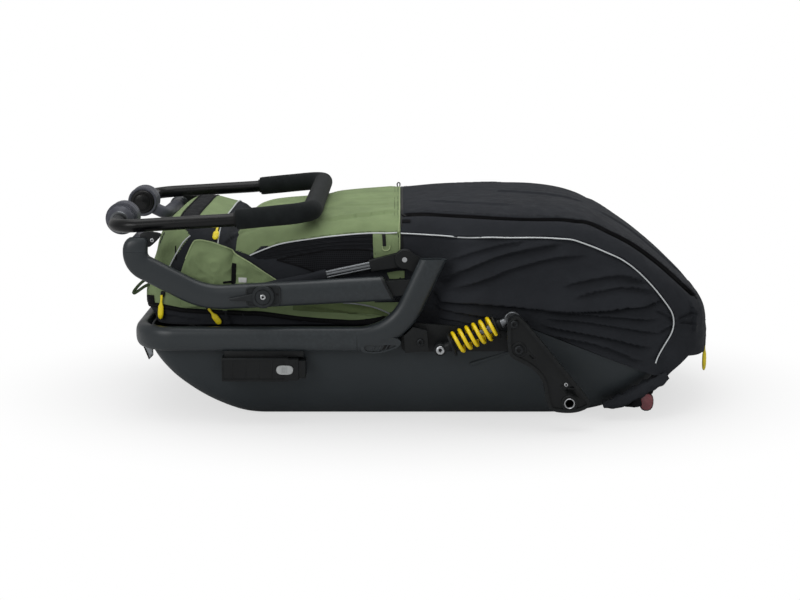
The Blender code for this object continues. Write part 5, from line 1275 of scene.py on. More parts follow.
def grid_normals(grid):
    normal = np.cross(np.gradient(grid, axis=0), np.gradient(grid, axis=1))
    normal /= np.maximum(np.linalg.norm(normal, axis=2, keepdims=True), 1e-12)
    return normal


def smooth_step(values, low, high):
    share = np.clip((values - low) / (high - low), 0, 1)
    return share * share * (3 - 2 * share)


def crease(seen, line, above, height, below, depth, drape, ends):
    """A fold along a line of pixels: its push, outwards above and inwards below, and how far it hangs."""
    path = np.array(pixel_path(line))
    reach = 3 * max(above, below, 1)
    low, high = path.min(0) - reach, path.max(0) + reach
    near = np.all((seen > low) & (seen < high), axis=-1)
    push, drop = np.zeros(seen.shape[:2]), np.zeros(seen.shape[:2])
    points = seen[near]
    if not len(points):
        return push, drop
    index = np.argmin(((points[:, None, :] - path[None]) ** 2).sum(-1), axis=1)
    ahead = path[np.minimum(index + 1, len(path) - 1)] - path[np.maximum(index - 1, 0)]
    ahead /= np.linalg.norm(ahead, axis=1, keepdims=True)
    off = points - path[index]
    side = -(ahead[:, 0] * off[:, 1] - ahead[:, 1] * off[:, 0])
    beyond = np.abs((ahead * off).sum(1))
    share = index / (len(path) - 1)
    taper = np.exp(-(beyond / 2) ** 2)
    if ends:
        taper = smooth_step(share, 0, ends) * smooth_step(1 - share, 0, ends)
    bulge = np.exp(-(side / above) ** 2)
    down = -depth * np.exp(-(side / max(below, 0.1)) ** 2) if depth else height * bulge
    push[near] = np.where(side > 0, height * bulge, down) * taper
    drop[near] = np.where(side > 0, drape * bulge, 0) * taper
    return push, drop


def inside(seen, polygon):
    """Which pixels lie inside a polygon of pixels."""
    result = np.zeros(seen.shape[:-1], bool)
    for (x0, y0), (x1, y1) in zip(polygon, polygon[1:] + polygon[:1]):
        crosses = (y0 > seen[..., 1]) != (y1 > seen[..., 1])
        with np.errstate(divide="ignore", invalid="ignore"):
            edge = (x1 - x0) * (seen[..., 1] - y0) / ((y1 - y0) or 1e-9) + x0
        result ^= crosses & (seen[..., 0] < edge)
    return result


def wrinkles(grid, scale, amount, seed):
    """Uneven slack in the cloth: broad waves with some sharper creases, longer along X than up the side."""
    shift = Vector((seed * 7.3, seed * 3.1, seed * 5.7))
    flat = grid.reshape(-1, 3)
    values = []
    for x, y, z in flat:
        place = Vector((x * scale * 0.6 + z * scale * 0.35, y * scale * 0.5, z * scale * 1.5)) + shift
        wave = noise.noise(place)
        values.append(wave * 0.6 + 0.5 * (0.35 - abs(noise.noise(place * 1.9 + shift))))
    return np.array(values).reshape(grid.shape[:2]) * amount


def capped(rows, cap, rear):
    """Rows of a cloth's grid with rows added that close its front or its rear end."""
    base = np.array(rows[-1 if rear else 0])
    bulge, low_share = 0.0022, 0.45
    height = base[:, 2].min() * low_share + base[:, 2].max() * (1 - low_share)
    centre = np.array([base[0, 0], 0, height])
    extra = []
    for k in range(1, cap + 1):
        share = k / cap
        narrowed = np.array([1, math.cos(share * math.pi / 2), 1 - 0.5 * share * share])
        ring = centre + (base - centre) * narrowed
        ring[:, 0] = base[0, 0] + (1 if rear else -1) * bulge * math.sin(share * math.pi / 2)
        extra.append([tuple(p) for p in ring])
    return rows + extra if rear else extra[::-1] + rows


def travelled(grid, axis):
    """Length of the way from a grid's first point to each of its points, along one axis of the grid."""
    steps = np.cumsum(np.linalg.norm(np.diff(grid, axis=axis), axis=2), axis=axis)
    return np.concatenate([np.zeros_like(grid[:1, :, 0] if axis == 0 else grid[:, :1, 0]), steps], axis)


def shell(name, stations, wall, arc, step, folds, slack, materials, zones, front_cap, rear_cap, low,
          depth=1):
    """A cloth surface over cross sections, with folds, slack and a material for each region."""
    x0, x1 = stations[0][0], stations[-1][0]
    count = max(8, round((x1 - x0) / step))
    rows = []
    for k in range(count + 1):
        x, half, high, power = at_station(stations, x0 + (x1 - x0) * k / count)
        rows.append(cloth_ring(x, half, low(x), high, power, wall, arc))
    if front_cap:
        rows = capped(rows, front_cap, False)
    if rear_cap:
        rows = capped(rows, rear_cap, True)
    grid = np.array(rows)
    if front_cap:
        ahead = smooth_step(-grid[..., 0], 0.400, 0.462) * smooth_step(grid[..., 2], 0.176, 0.205)
        grid[..., 0] -= 0.015 * ahead * (1 - smooth_step(grid[..., 2], 0.215, 0.300))
    normal = grid_normals(grid)
    seen = pixels_of(grid)
    push, drop = slack(grid, normal), np.zeros(grid.shape[:2])
    facing = smooth_step(np.abs(normal[..., 1]) + 0.35 * np.abs(normal[..., 2]), 0.15, 0.4)
    for fold in folds:
        more, hang = crease(seen, *fold)
        push += depth * more * facing
        drop += depth * hang * facing
    moved = grid + normal * push[..., None]
    moved[..., 2] -= drop
    ids = np.arange(grid.shape[0] * grid.shape[1]).reshape(grid.shape[:2])
    quads = np.stack([ids[:-1, :-1], ids[:-1, 1:], ids[1:, 1:], ids[1:, :-1]], -1).reshape(-1, 4)
    mesh = bpy.data.meshes.new(name)
    mesh.from_pydata([tuple(p) for p in moved.reshape(-1, 3)], [], [tuple(int(i) for i in q) for q in quads])
    uv = np.stack([travelled(moved, 0), travelled(moved, 1)], -1).reshape(-1, 2)[quads.reshape(-1)]
    mesh.uv_layers.new(name="UVMap").data.foreach_set("uv", uv.reshape(-1))
    centres = (grid[:-1, :-1] + grid[1:, 1:]) / 2
    middle = pixels_of(centres)
    index = np.zeros(centres.shape[:2], int)
    for material, test in zones:
        index = np.where(test(centres, middle, normal[:-1, :-1]), materials.index(material), index)
    for material in materials:
        mesh.materials.append(material)
    mesh.polygons.foreach_set("material_index", index.reshape(-1).astype(np.int32))
    mesh.shade_smooth()
    obj = bpy.data.objects.new(name, mesh)
    bpy.context.scene.collection.objects.link(obj)
    return obj


def green_slack(grid, normal):
    low_band = smooth_step(-grid[..., 2], -0.215, -0.185)
    push = wrinkles(grid, 9, 0.0022, 1) + wrinkles(grid, 26, 0.0012, 2) * (0.35 + 1.1 * low_band)
    roof = smooth_step(normal[..., 2], 0.4, 0.9)
    return push * (1 - 0.45 * roof)


def rear_slack(grid, normal):
    below = 1 - smooth_step(pipe_height(grid), -0.004, 0.006)
    push = wrinkles(grid, 8, 0.0030, 3) * (0.3 + 0.9 * below)
    return push + wrinkles(grid, 24, 0.0014, 4) * (0.25 + 1.0 * below)


def pipe_height(grid):
    """How far a point of the rear cover lies above its side piping."""
    line = ((-0.027, 0.334), (0.067, 0.328), (0.154, 0.327), (0.235, 0.327), (0.284, 0.322), (0.334, 0.303),
            (0.376, 0.282), (0.416, 0.245), (0.444, 0.212), (0.470, 0.18), (0.60, 0.1))
    return grid[..., 2] - np.interp(grid[..., 0], *zip(*line))


GREEN_FOLDS = [
    ([(318, 221), (350, 216.5), (375, 213.5), (401, 210.5)], 3.2, 0.0030, 3, 0.0022, 0.0, 0.15),
    ([(255, 217), (285, 213), (318, 209)], 2.4, 0.0020, 2, 0.0012, 0.0, 0.2),
    ([(332, 193), (360, 192), (398, 191.5)], 1.4, 0.0016, 1.4, 0.0010, 0, 0.2),
    ([(338, 199), (366, 198.4), (398, 197.6)], 1.4, 0.0014, 1.4, 0.0010, 0, 0.2),
    ([(335, 205.5), (366, 204.5), (398, 203.5)], 1.3, 0.0014, 1.4, 0.0010, 0, 0.2),
    (PIPE_FRONT, 3.0, 0.0014, 2.5, 0.0030, 0.0008, 0),
    ([(222, 245), (232, 238), (245, 231), (262, 227)], 2.5, 0.0022, 2, 0.0015, 0, 0.15),
    ([(172, 238), (166, 252), (162, 262)], 3, 0.0012, 3, 0.0012, 0, 0.2),
    ([(222, 308), (226, 318), (229, 327)], 3, 0.0026, 2.4, 0.0014, 0, 0.25),
    ([(240, 311), (243, 319), (246, 328)], 3, 0.0022, 2.6, 0.0014, 0, 0.25),
    ([(262, 315), (290, 320), (318, 324)], 2.5, 0.0020, 2.2, 0.0014, 0, 0.25),
    ([(300, 306), (330, 309), (360, 314), (385, 317)], 4, 0.0030, 3, 0.0018, 0, 0.2),
    ([(150, 312), (175, 316), (205, 321)], 2.6, 0.0016, 2.6, 0.0012, 0, 0.25),
]
REAR_FOLDS = [
    (SEAM, 4.2, 0.0030, 2.2, 0.0040, 0.0022, 0.02),
    (PIPE_REAR, 3.0, 0.0016, 3.0, 0.0030, 0.0008, 0.02),
    ([(431, 290), (450, 295), (476, 297), (509, 299.5), (540, 303), (572, 305.3), (605, 304.5), (632, 301),
      (668, 299)], 9.5, 0.0095, 5.5, 0.0100, 0.0085, 0.10),
    ([(432, 304), (460, 309.5), (485, 314), (508, 318), (530, 321)], 6, 0.0050, 4.5, 0.0060, 0.0045, 0.14),
    ([(437, 317), (455, 320), (476, 325)], 3, 0.0026, 2.5, 0.0026, 0.001, 0.25),
    ([(540, 310), (575, 313), (610, 316), (664, 320.5)], 4.5, 0.0042, 3.5, 0.0036, 0.0015, 0.15),
    ([(543, 318.5), (580, 321), (620, 327), (664, 334)], 4.0, 0.0038, 3.2, 0.0034, 0.0012, 0.15),
    ([(540, 325), (575, 331), (615, 339), (655, 349)], 4.0, 0.0042, 3.2, 0.0040, 0.0015, 0.15),
    ([(548, 335), (580, 340.5), (612, 349), (646, 364)], 3.8, 0.0036, 3.4, 0.0034, 0.001, 0.15),
    ([(436, 282), (465, 270), (500, 256), (535, 248), (566, 244)], 6.5, 0.0048, 5.5, 0.0034, 0.0, 0.18),
    ([(447, 262), (475, 252), (505, 244.5), (530, 241)], 4.0, 0.0028, 4, 0.0020, 0, 0.2),
    ([(445, 288), (480, 281), (515, 268), (556, 258), (590, 256)], 6.5, 0.0046, 5.5, 0.0034, 0, 0.2),
    ([(560, 288), (590, 280), (622, 276), (650, 284)], 7, 0.0042, 5, 0.0028, 0, 0.2),
    ([(570, 297), (600, 290.5), (632, 287), (660, 292)], 4.5, 0.0030, 4, 0.0026, 0, 0.2),
    ([(655, 309), (667, 315), (677, 321.5)], 2.2, 0.0026, 2.0, 0.0020, 0, 0.2),
    ([(698, 312), (688, 316), (678, 321)], 2.4, 0.0030, 2.4, 0.0024, 0, 0.2),
    ([(697, 324), (688, 324), (679, 323)], 2.0, 0.0024, 2.0, 0.0018, 0, 0.2),
    ([(658, 334), (667, 328), (677, 324)], 2.2, 0.0024, 2.2, 0.0020, 0, 0.2),
    ([(470, 190), (520, 192), (560, 196), (590, 204)], 2.2, 0.0016, 2.2, 0.0010, 0, 0.2),
    ([(590, 206), (625, 226), (660, 254), (690, 282)], 4, 0.0020, 4, 0.0014, 0, 0.2),
    ([(420, 200), (470, 203), (520, 205)], 1.8, 0.0012, 1.8, 0.0009, 0, 0.2),
    ([(560, 358), (600, 366), (630, 376)], 3.5, 0.0016, 3.5, 0.0014, 0, 0.2),
    ([(690, 300), (694, 318), (692, 336)], 3, 0.0022, 3, 0.0016, 0, 0.2),
]


def region(polygon):
    """A test for the cloth of both sides inside a polygon of pixels."""
    def test(centres, seen, normal):
        return inside(seen, polygon) & ((np.abs(normal[..., 1]) > 0.25) | (centres[..., 2] < 0.30))
    return test


def roof_zone(x0, x1, half, low):
    """A test for the cloth between two places along X, within a half width and above a height."""
    def test(centres, seen, normal):
        x, y, z = (centres[..., i] for i in range(3))
        return (x > x0) & (x < x1) & (np.abs(y) < half) & (z > low)
    return test


def front_face(centres, seen, normal):
    """A test for the window in the cabin's front."""
    y, z = centres[..., 1], centres[..., 2]
    return (normal[..., 0] < -0.5) & (np.abs(y) < 0.13) & (z > 0.20) & (z < 0.28)


ZIP_EDGE = [(128, 303), (145, 301.5), (160, 304), (175, 307), (190, 309), (243, 311.5), (262, 312),
            (300, 317), (340, 320), (358, 320.5), (380, 317.5), (392, 312.5), (405, 300)]
BAND_LOW = [(256, 259), (272, 259.5), (290, 255.5), (310, 252), (332, 248.8), (352, 248.6), (373, 249)]
WINDOW = [(277, 259.8), (294, 255.8), (312, 252.8), (333, 249.6), (371.5, 250), (372.5, 258), (350, 268),
          (334, 275.5), (322, 275), (308, 269), (292, 264)]
GREEN_ZONES = [
    (NET, roof_zone(-0.421, -0.393, 0.205, 0.30)),
    # The dip between the front arch and the main dome takes the black cloth: painted shade of the gap between
    # them.
    (BLACK_CLOTH, roof_zone(-0.347, -0.319, 0.30, 0.30)),
    (NET, front_face),
    (BLACK_CLOTH, region([(184, 226), (234, 224), (240, 231), (228, 240), (222, 247), (205, 247), (191, 243),
                          (189, 235)])),
    (BLACK_CLOTH, region([(190, 235.5), (198, 238.5), (188, 262), (181, 290), (165, 290), (171, 264),
                          (180, 250)])),
    (BLACK_CLOTH, region([(150, 230), (166, 231), (156, 253), (148, 262)])),
    (BLACK_CLOTH, region([(226, 247), (250, 255), (262, 246), (375, 245), (380, 262), (380, 300), (246, 300),
                          (226, 262)])),
    (BAND, region(PIPE_FRONT[:-1] + [(373, 232.4), (373, 249)] + BAND_LOW[::-1])),
    (NET, region(WINDOW)),
    (BLACK_CLOTH, region([(374, 262), (430, 262), (430, 302), (374, 302)])),
    (BLACK_CLOTH, region([(399, 235), (410, 235), (410, 264), (400, 264)])),
    (BLACK_CLOTH, region(ZIP_EDGE + [(430, 300), (430, 360), (110, 360), (110, 303)]))
]


def rear_hem(x):
    """Height of the rear cover's lower edge: along the tub's sloping rim, then up to its rear end."""
    end_x, end_z = (0.435, 0.456, 0.487, 0.52, 0.556), (0.0675, 0.0875, 0.112, 0.107, 0.087)
    return max(tub_rim(x) + 0.0016, float(np.interp(x, end_x, end_z)))


green = shell("roof_cloth", GREEN_STATIONS, 40, 190, 0.0028, GREEN_FOLDS, green_slack,
              [GREEN, BLACK_CLOTH, BAND, NET], GREEN_ZONES, 10, 0, lambda x: 0.1706)
rear = shell("rear_cloth", REAR_STATIONS, 52, 200, 0.0030, REAR_FOLDS, rear_slack,
             [BLACK_CLOTH], [], 0, 12, rear_hem, 1.35)
corners, faces = [], []
for obj in (green, rear):
    faces += [[i + len(corners) for i in p.vertices] for p in obj.data.polygons]
    corners += [v.co[:] for v in obj.data.vertices]
TREE = BVHTree.FromPolygons(corners, faces)
SEWN = {True: [], False: []}


def ride_cloth(obj, is_green):
    """Pieces are listed by colour; green cloth and its sewn pieces keep their place baked into the mesh, the
    rear cloth and its pieces ride on the root.
    """
    SEWN[is_green].append(obj)
    if is_green:
        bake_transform(obj)
    else:
        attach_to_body(obj, "root")


def cast(px, py, lift=0.0, side=-1):
    """The cloth's raised point under a pixel and its normal, or their mirror image on the right side."""
    point, normal, _, _ = TREE.ray_cast(CAMERA_AT, ray(px, py))
    if point is None:
        return None
    if normal.dot(ray(px, py)) > 0:
        normal = -normal
    point = point + normal * lift
    if side > 0:
        point.y, normal.y = -point.y, -normal.y
    return point, normal


def cast_line(line, lift, side, steps=10):
    """Points and normals on the cloth under a line of pixels, without doubles and jumps."""
    found = [cast(px, py, lift, side) for px, py in pixel_path(line, steps)]
    found = [f for f in found if f]
    kept = found[:1]
    for item in found[1:]:
        if 0.0002 < (item[0] - kept[-1][0]).length < 0.05:
            kept.append(item)
    return kept


def evened(line, rounds=2):
    """The points and normals of a line, with small jumps averaged out."""
    for _ in range(rounds):
        fresh = [line[0]]
        for a, b, c in zip(line, line[1:], line[2:]):
            fresh.append(((a[0] + 2 * b[0] + c[0]) / 4, (a[1] + 2 * b[1] + c[1]).normalized()))
        line = fresh + [line[-1]]
    return line


def heading(line, index):
    """Direction of a line of points and normals at one of its points."""
    return (line[min(index + 1, len(line) - 1)][0] - line[max(index - 1, 0)][0]).normalized()


def band(name, line, half_width, thick, material, is_green, power, sides=12, sink=0.3, taper=False,
         rounds=2):
    """A sewn strip, cord or piping that follows a line of points and normals on the cloth."""
    line = evened(line, rounds)
    section = superellipse(half_width, thick, sides, power)
    rings = []
    for index, (point, normal) in enumerate(line):
        ahead = heading(line, index)
        across = ahead.cross(normal).normalized()
        out = across.cross(ahead).normalized()
        if out.dot(normal) < 0:
            out.negate()
        scale = 1.0
        if taper:
            scale = 0.35 + 0.65 * min(1, 4 * min(index, len(line) - 1 - index) / len(line))
        middle = point + out * thick * (1 - 2 * sink)
        rings.append([middle + across * a * scale + out * b * scale for a, b in section])
    ride_cloth(finish_mesh(name, loft(rings), material, 50), is_green)


def offset_line(line, distance):
    """A line moved sideways along the cloth."""
    return [(point + heading(line, index).cross(normal).normalized() * distance, normal)
            for index, (point, normal) in enumerate(line)]


def sewn(name, line, distance, material, is_green, pitch=0.0042, length=0.0028, radius=0.00042):
    """A row of stitches beside a line on the cloth."""
    path = [p + n * 0.0003 for p, n in offset_line(evened(line), distance)]
    stitches(name, path, material, lambda obj: ride_cloth(obj, is_green), pitch, length,
             radius)


def patch(name, upper, lower, lift, thick, material, is_green, side, cells, puff, seed, hem):
    """A panel between two lines of pixels, lying on the cloth, with a hemmed edge and some fullness."""
    wide, high = cells

    def pick(line, share):
        place = share * (len(line) - 1)
        k = min(int(place), len(line) - 2)
        t = place - k
        return line[k][0] * (1 - t) + line[k + 1][0] * t, line[k][1] * (1 - t) + line[k + 1][1] * t
    top, low = pixel_path(upper, 12), pixel_path(lower, 12)
    grid = []
    for i in range(wide + 1):
        row, a, b = [], pick(top, i / wide), pick(low, i / wide)
        for j in range(high + 1):
            t = j / high
            found = cast(a[0] * (1 - t) + b[0] * t, a[1] * (1 - t) + b[1] * t, 0, side)
            row.append(found or (row[-1] if row else grid[-1][j]))
        grid.append(row)
    bm = bmesh.new()
    layer = bm.loops.layers.uv.new("UVMap")
    along, across = Vector((seed, 0, 0)), Vector((0, seed, 0))
    fronts, backs = [[] for _ in grid], [[] for _ in grid]
    for i, row in enumerate(grid):
        for j, (point, normal) in enumerate(row):
            edge = min(i / wide, 1 - i / wide, j / high, 1 - j / high)
            full = min(1, edge / 0.18)
            seam_dip = -0.0006 * math.exp(-((edge - hem) / 0.02) ** 2) if hem else 0
            ridge = 0.25 - abs(noise.noise(point * 48 + across))
            wave = noise.noise(point * 34 + along) * 0.6 + ridge * 0.9
            out = lift + puff * full * (1 - 0.5 * full) + puff * 0.9 * wave * full + seam_dip
            fronts[i].append(bm.verts.new(point + normal * out))
            backs[i].append(bm.verts.new(point + normal * (out - thick)))
    length, width = (grid[0][0][0] - grid[-1][0][0]).length, (grid[0][0][0] - grid[0][-1][0]).length
    for i in range(wide):
        for j in range(high):
            corners = [(i, j), (i + 1, j), (i + 1, j + 1), (i, j + 1)]
            for rows, order in ((fronts, corners), (backs, corners[::-1])):
                face = bm.faces.new([rows[a][b] for a, b in order])
                for loop, (a, b) in zip(face.loops, order):
                    loop[layer].uv = (length * a / wide, width * b / high)
    edge = [(i, 0) for i in range(wide)] + [(wide, j) for j in range(high)]
    edge += [(i, high) for i in range(wide, 0, -1)] + [(0, j) for j in range(high, 0, -1)]
    for (a, b), (c, d) in zip(edge, edge[1:] + edge[:1]):
        bm.faces.new([fronts[a][b], backs[a][b], backs[c][d], fronts[c][d]])
    ride_cloth(finish_mesh(name, bm, material, 60), is_green)


def zipper(name, line, half_width, is_green):
    """A zip: a woven tape and two rows of small teeth."""
    band(name + "_tape", line, half_width, 0.0006, WEBBING, is_green, 6)
    bm = bmesh.new()
    ring = ((-1, -1), (1, -1), (1, 1), (-1, 1))
    corners = [(u, v, w) for w in (-1, 1) for u, v in ring]
    quads = ((0, 3, 2, 1), (4, 5, 6, 7), (0, 1, 5, 4), (1, 2, 6, 5), (2, 3, 7, 6), (3, 0, 4, 7))
    line = evened(line)
    reach, place, pitch = 0.0, 0.0, 0.0018
    for (a, na), (b, nb) in zip(line, line[1:]):
        span = (b - a).length
        ahead = (b - a).normalized()
        while place < reach + span:
            share = (place - reach) / span
            point, normal = a.lerp(b, share), na.lerp(nb, share).normalized()
            across = ahead.cross(normal).normalized()
            for sign in (-1, 1):
                shift = 0.0005 if sign > 0 else 0
                middle = point + across * sign * 0.0008 + normal * 0.0009 + ahead * shift
                verts = []
                for u, v, w in corners:
                    corner = middle + across * u * 0.0010 + ahead * v * 0.00038 + normal * w * 0.0006
                    verts.append(bm.verts.new(corner))
                for quad in quads:
                    bm.faces.new([verts[q] for q in quad])
            place += pitch
        reach += span
    ride_cloth(finish_mesh(name + "_teeth", bm, SOFT_BLACK), is_green)


def zip_pull(node, label, top, along, outward, length, lift):
    """A yellow moulded pull: slider eye, slim neck and a flattened bulb with three ribs."""
    across = along.cross(outward).normalized()
    outward = across.cross(along).normalized() * (1 if across.cross(along).dot(outward) > 0 else -1)
    shape = ((0, 0.0012, 0.0008), (0.02, 0.0022, 0.0013), (0.10, 0.0026, 0.0014), (0.20, 0.0020, 0.0013),
             (0.32, 0.0022, 0.0013), (0.40, 0.0036, 0.0017), (0.48, 0.0052, 0.0021), (0.60, 0.0056, 0.0024),
             (0.80, 0.0056, 0.0025), (0.92, 0.0046, 0.0022), (0.98, 0.0026, 0.0014), (1.0, 0.0008, 0.0007))
    base = lift + 0.0017
    rings = []
    for share, wide, thick in shape:
        middle = top + outward * base + along * length * share
        rings.append([middle + across * a + outward * b for a, b in superellipse(wide, thick, 24, 2.6)])
    show("pull_" + label, loft(rings), PULL, node, 45)
    section = superellipse(0.0007, 0.0007, 8, 2)
    for k in range(3):
        middle = top + outward * (base + 0.0022) + along * length * (0.62 + 0.10 * k)
        rows = []
        for u in (-1, -0.5, 0, 0.5, 1):
            place = middle + across * (u * 0.0040)
            rows.append([place + along * a + outward * (b * 0.7 + 0.0001) for a, b in section])
        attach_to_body(finish_mesh("pull_rib_%s_%d" % (label, k), loft(rows), PULL), BODY_OF[node])
    return across, outward


def slider(label, top, along, across, outward, lift, is_green):
    """The small dark slider that a pull hangs on."""
    rings = []
    for share, wide, thick in ((-0.006, 0.0030, 0.0012), (-0.0045, 0.0042, 0.0019), (0.001, 0.0040, 0.0020),
                               (0.0045, 0.0030, 0.0015)):
        middle = top + outward * (lift + 0.0002) + along * share
        rings.append([middle + across * a + outward * b for a, b in superellipse(wide, thick, 20, 3.2)])
    ride_cloth(finish_mesh("slider_" + label, loft(rings), SOFT_BLACK), is_green)


def strip(where, name, points, lift, half_width, thick, material, power, steps=5, is_green=True, **more):
    """A band over a line of pixels on one side."""
    label, side = where
    line = cast_line(points, lift, side, steps)
    band(name + "_" + label, line, half_width, thick, material, is_green, power, **more)
    return line


def sew_seams(label, side):
    """Piping, the seam's zip and the welt where the green cloth meets the black cover."""
    where, pipe = (label, side), {"sides": 14, "sink": 0.25, "steps": 10}
    front_pipe = strip(where, "piping_front", PIPE_FRONT, 0.0010, 0.0012, 0.0013, PIPING, 2.0, rounds=10,
                       **pipe)
    sewn("piping_front_seam_" + label, front_pipe, 0.0036 * side, THREAD_DARK, True)
    pipe.update(is_green=False, rounds=14)
    strip(where, "piping_rear", PIPE_REAR, 0.0024, 0.0012, 0.0013, PIPING, 2.0, **pipe)
    seam = cast_line([(x + 0.3, y + 2.2) for x, y in SEAM], 0.0013, side)
    zipper("seam_zip_" + label, seam, 0.0048, False)
    above_seam = cast_line([(x, y - 2.4) for x, y in SEAM], 0.0002, side)
    sewn("seam_thread_" + label, above_seam, 0, SOFT_BLACK, False)
    join = ((399.8, 211), (400.3, 218), (399.8, 226), (399.4, 232.4))
    join = [(p - AXIS_X * 0.0012, n) for p, n in cast_line(join, 0.0003, side)]
    band("join_welt_" + label, join, 0.0012, 0.0012, THREAD_GREEN, True, 2.2, 10)


def sew_patches(label, side):
    """The patch over the bow's end with its slot, a black strip of painted shade, and its stitched loop, and
    the one at the fold hinge.
    """
    where = (label, side)
    top, low = ((372.8, 233.2), (380, 233), (398, 233.3)), ((373.6, 257.5), (380, 259), (399.5, 262))
    patch("bow_patch_" + label, top, low, 0.0016, 0.0016, GREEN, True, side, (26, 30), 0.0006, 5, 0.15)
    # The slot is a thin black strip laid on the patch: painted shade of the opening.
    slot = ((383.6, 235), (384.2, 240), (384.4, 246))
    strip(where, "patch_slot_shade", slot, 0.0024, 0.0030, 0.0005, SOFT_BLACK, 3)
    loop = ((382.4, 246), (383, 249.5), (386.5, 250.6), (389.6, 249), (390.2, 245.6))
    strip(where, "patch_stitch", loop, 0.0026, 0.0011, 0.0007, THREAD_GREEN, 2, 6)
    top, low = ((387, 272.6), (396, 271), (404.6, 270.6)), ((389.4, 278.6), (396, 278.6), (404.4, 277.8))
    patch("hinge_patch_" + label, top, low, 0.0018, 0.0014, GREEN, True, side, (16, 10), 0.0004, 9, 0)


def sew_window(label, side):
    """Pleats in the black band and the binding round the net window."""
    where = (label, side)
    edges = list(zip(spaced(PIPE_FRONT[:-1] + [(373, 232.4)], 9), spaced(BAND_LOW, 9)))
    pleat = {"steps": 6, "sides": 8, "sink": 0.4, "taper": True}
    for index, share in enumerate((0.25, 0.5, 0.75)):
        line = [(a[0] * (1 - share) + b[0] * share, a[1] * (1 - share) + b[1] * share) for a, b in edges[1:]]
        strip(where, "pleat_%d" % index, line, 0.0002, 0.0011, 0.0008, BAND, 2, **pleat)
    strip(where, "window_binding", WINDOW + WINDOW[:1], 0.0002, 0.0016, 0.0009, WEBBING, 3)


def sew_flap(label, side):
    """The loose front flap with its welt, thread, straps and tag, and the piping in front of it."""
    where = (label, side)
    top = ((181.5, 271), (186, 258), (192.5, 244), (197.5, 240.8), (211, 243), (222, 246.8), (230, 250.6),
           (250, 261.6), (264, 271), (284, 284))
    low = ((180.5, 282), (181, 286), (190, 291), (200, 294), (212, 296), (226, 297), (240, 297), (254, 296),
           (268, 295), (284, 293))
    patch("front_flap_" + label, top, low, 0.0048, 0.0016, GREEN, True, side, (110, 50), 0.0056, 17, 0.05)
    hem_line = [(x, y + 0.4) for x, y in top[1:]]
    strip(where, "flap_welt", hem_line, 0.0054, 0.0012, 0.0010, THREAD_GREEN, 2.2, 9, sides=10)
    inner = cast_line([(x + (3.0 if x < 196 else 0), y + 2.4) for x, y in top[1:]], 0.0084, side, 9)
    sewn("flap_thread_" + label, inner, 0, THREAD_DARK, True, 0.0062, 0.0042, 0.0008)
    stripe = ((190.2, 236), (184, 241.5), (179, 249), (174, 258), (170, 266))
    strip(where, "stripe_piping", stripe, 0.0006, 0.0011, 0.0011, PIPING, 2, 10, sink=0.25)
    middle = ((236.8, 263), (235.6, 270), (235.2, 278), (235.4, 286))
    edge, tag = ((223, 281.6), (229, 281), (235, 280.6)), ((240.6, 279.4), (244, 279.4), (247.2, 279.6))
    strip(where, "flap_strap", middle, 0.0092, 0.0042, 0.0009, WEBBING, 5)
    strip(where, "flap_edge", edge, 0.0092, 0.0018, 0.0008, WEBBING, 4)
    strip(where, "white_tag", tag, 0.0088, 0.0044, 0.0006, TAG, 6)


def sew_hem(label, side):
    """The lower zip, the skirt under the cabin with its cord, in a darker green that is painted shade under
    the roof tube, and two small tags.
    """
    where = (label, side)
    lower_edge = cast_line(ZIP_EDGE[1:-1], 0.0004, side, 8)
    zipper("lower_zip_" + label, offset_line(lower_edge, -0.0030 * side), 0.0044, False)
    cord = ((343, 302.6), (356, 303.6), (370, 306), (383, 310.4), (394, 316))
    strip(where, "skirt_cord", cord, 0.0022, 0.0013, 0.0013, SHINE, 2, 6, False, sides=10)
    top = ((293, 300), (320, 301), (343, 302.8), (356, 303.8), (370, 306.2), (383, 310.6), (393, 315.6))
    low = ((293, 310), (320, 312), (343, 313), (356, 313.6), (370, 314), (383, 315.6), (393, 317))
    # The skirt is in the darker green: painted shade under the roof tube.
    patch("skirt_" + label, top, low, 0.0016, 0.0012, GREEN_PAINTED_SHADE, False, side, (60, 14), 0.0012, 23, 0)
    front = ((148.2, 298.4), (151.4, 298.6), (154.6, 298.8))
    rear = ((402, 221.6), (406, 221.4), (410.4, 221.6))
    strip(where, "black_tag", front, 0.0012, 0.0068, 0.0008, WEBBING, 5, 5, False)
    strip(where, "seam_tag", rear, 0.0012, 0.0036, 0.0007, WEBBING, 5, 5, False)


def spaced(line, count):
    """A number of even places along a line of pixels."""
    path = pixel_path(line)
    return [path[round(k * (len(path) - 1) / (count - 1))] for k in range(count)]


def cross_line(x, lift, count=90):
    """A line over the roof and both sides of the cloth at one place along X."""
    found, reach = [], 0.5
    for k in range(count + 1):
        turn = math.pi * (0.06 + 0.88 * k / count)
        direction = Vector((0, -math.cos(turn), math.sin(turn)))
        point, normal, _, _ = TREE.ray_cast(Vector((x, 0, 0.24)) + direction * reach, -direction)
        if point is not None:
            normal = -normal if normal.dot(direction) < 0 else normal
            found.append((point + normal * lift, normal))
    return found


def front_loop():
    """The webbing loop at the cabin's front left corner and the small hook on the roof's far edge."""
    loop = ((150, 277.6), (144, 280.6), (138.4, 285.6), (134.0, 291.2), (134.6, 293), (138.6, 290.6),
            (144.6, 286.4), (151, 283.4))
    route = smooth_path([at(px, py, -0.212) for px, py in loop], 6)
    loop = loft(sweep(route, superellipse(0.0048, 0.0027, 16, 3), AXIS_Y))
    ride_cloth(finish_mesh("front_loop", loop, WEBBING_GREEN, 50), True)
    hook = ((398.4, 188.5), (397.4, 185.8), (397.2, 183.8), (398.4, 182.6), (399.9, 183.4), (399.8, 186))
    route = smooth_path([at(px, py, 0.2) for px, py in hook], 8)
    hook = loft(sweep(route, superellipse(0.0012, 0.0012, 12, 2), AXIS_Y))
    ride_cloth(finish_mesh("roof_hook", hook, SOFT_BLACK, 50), False)


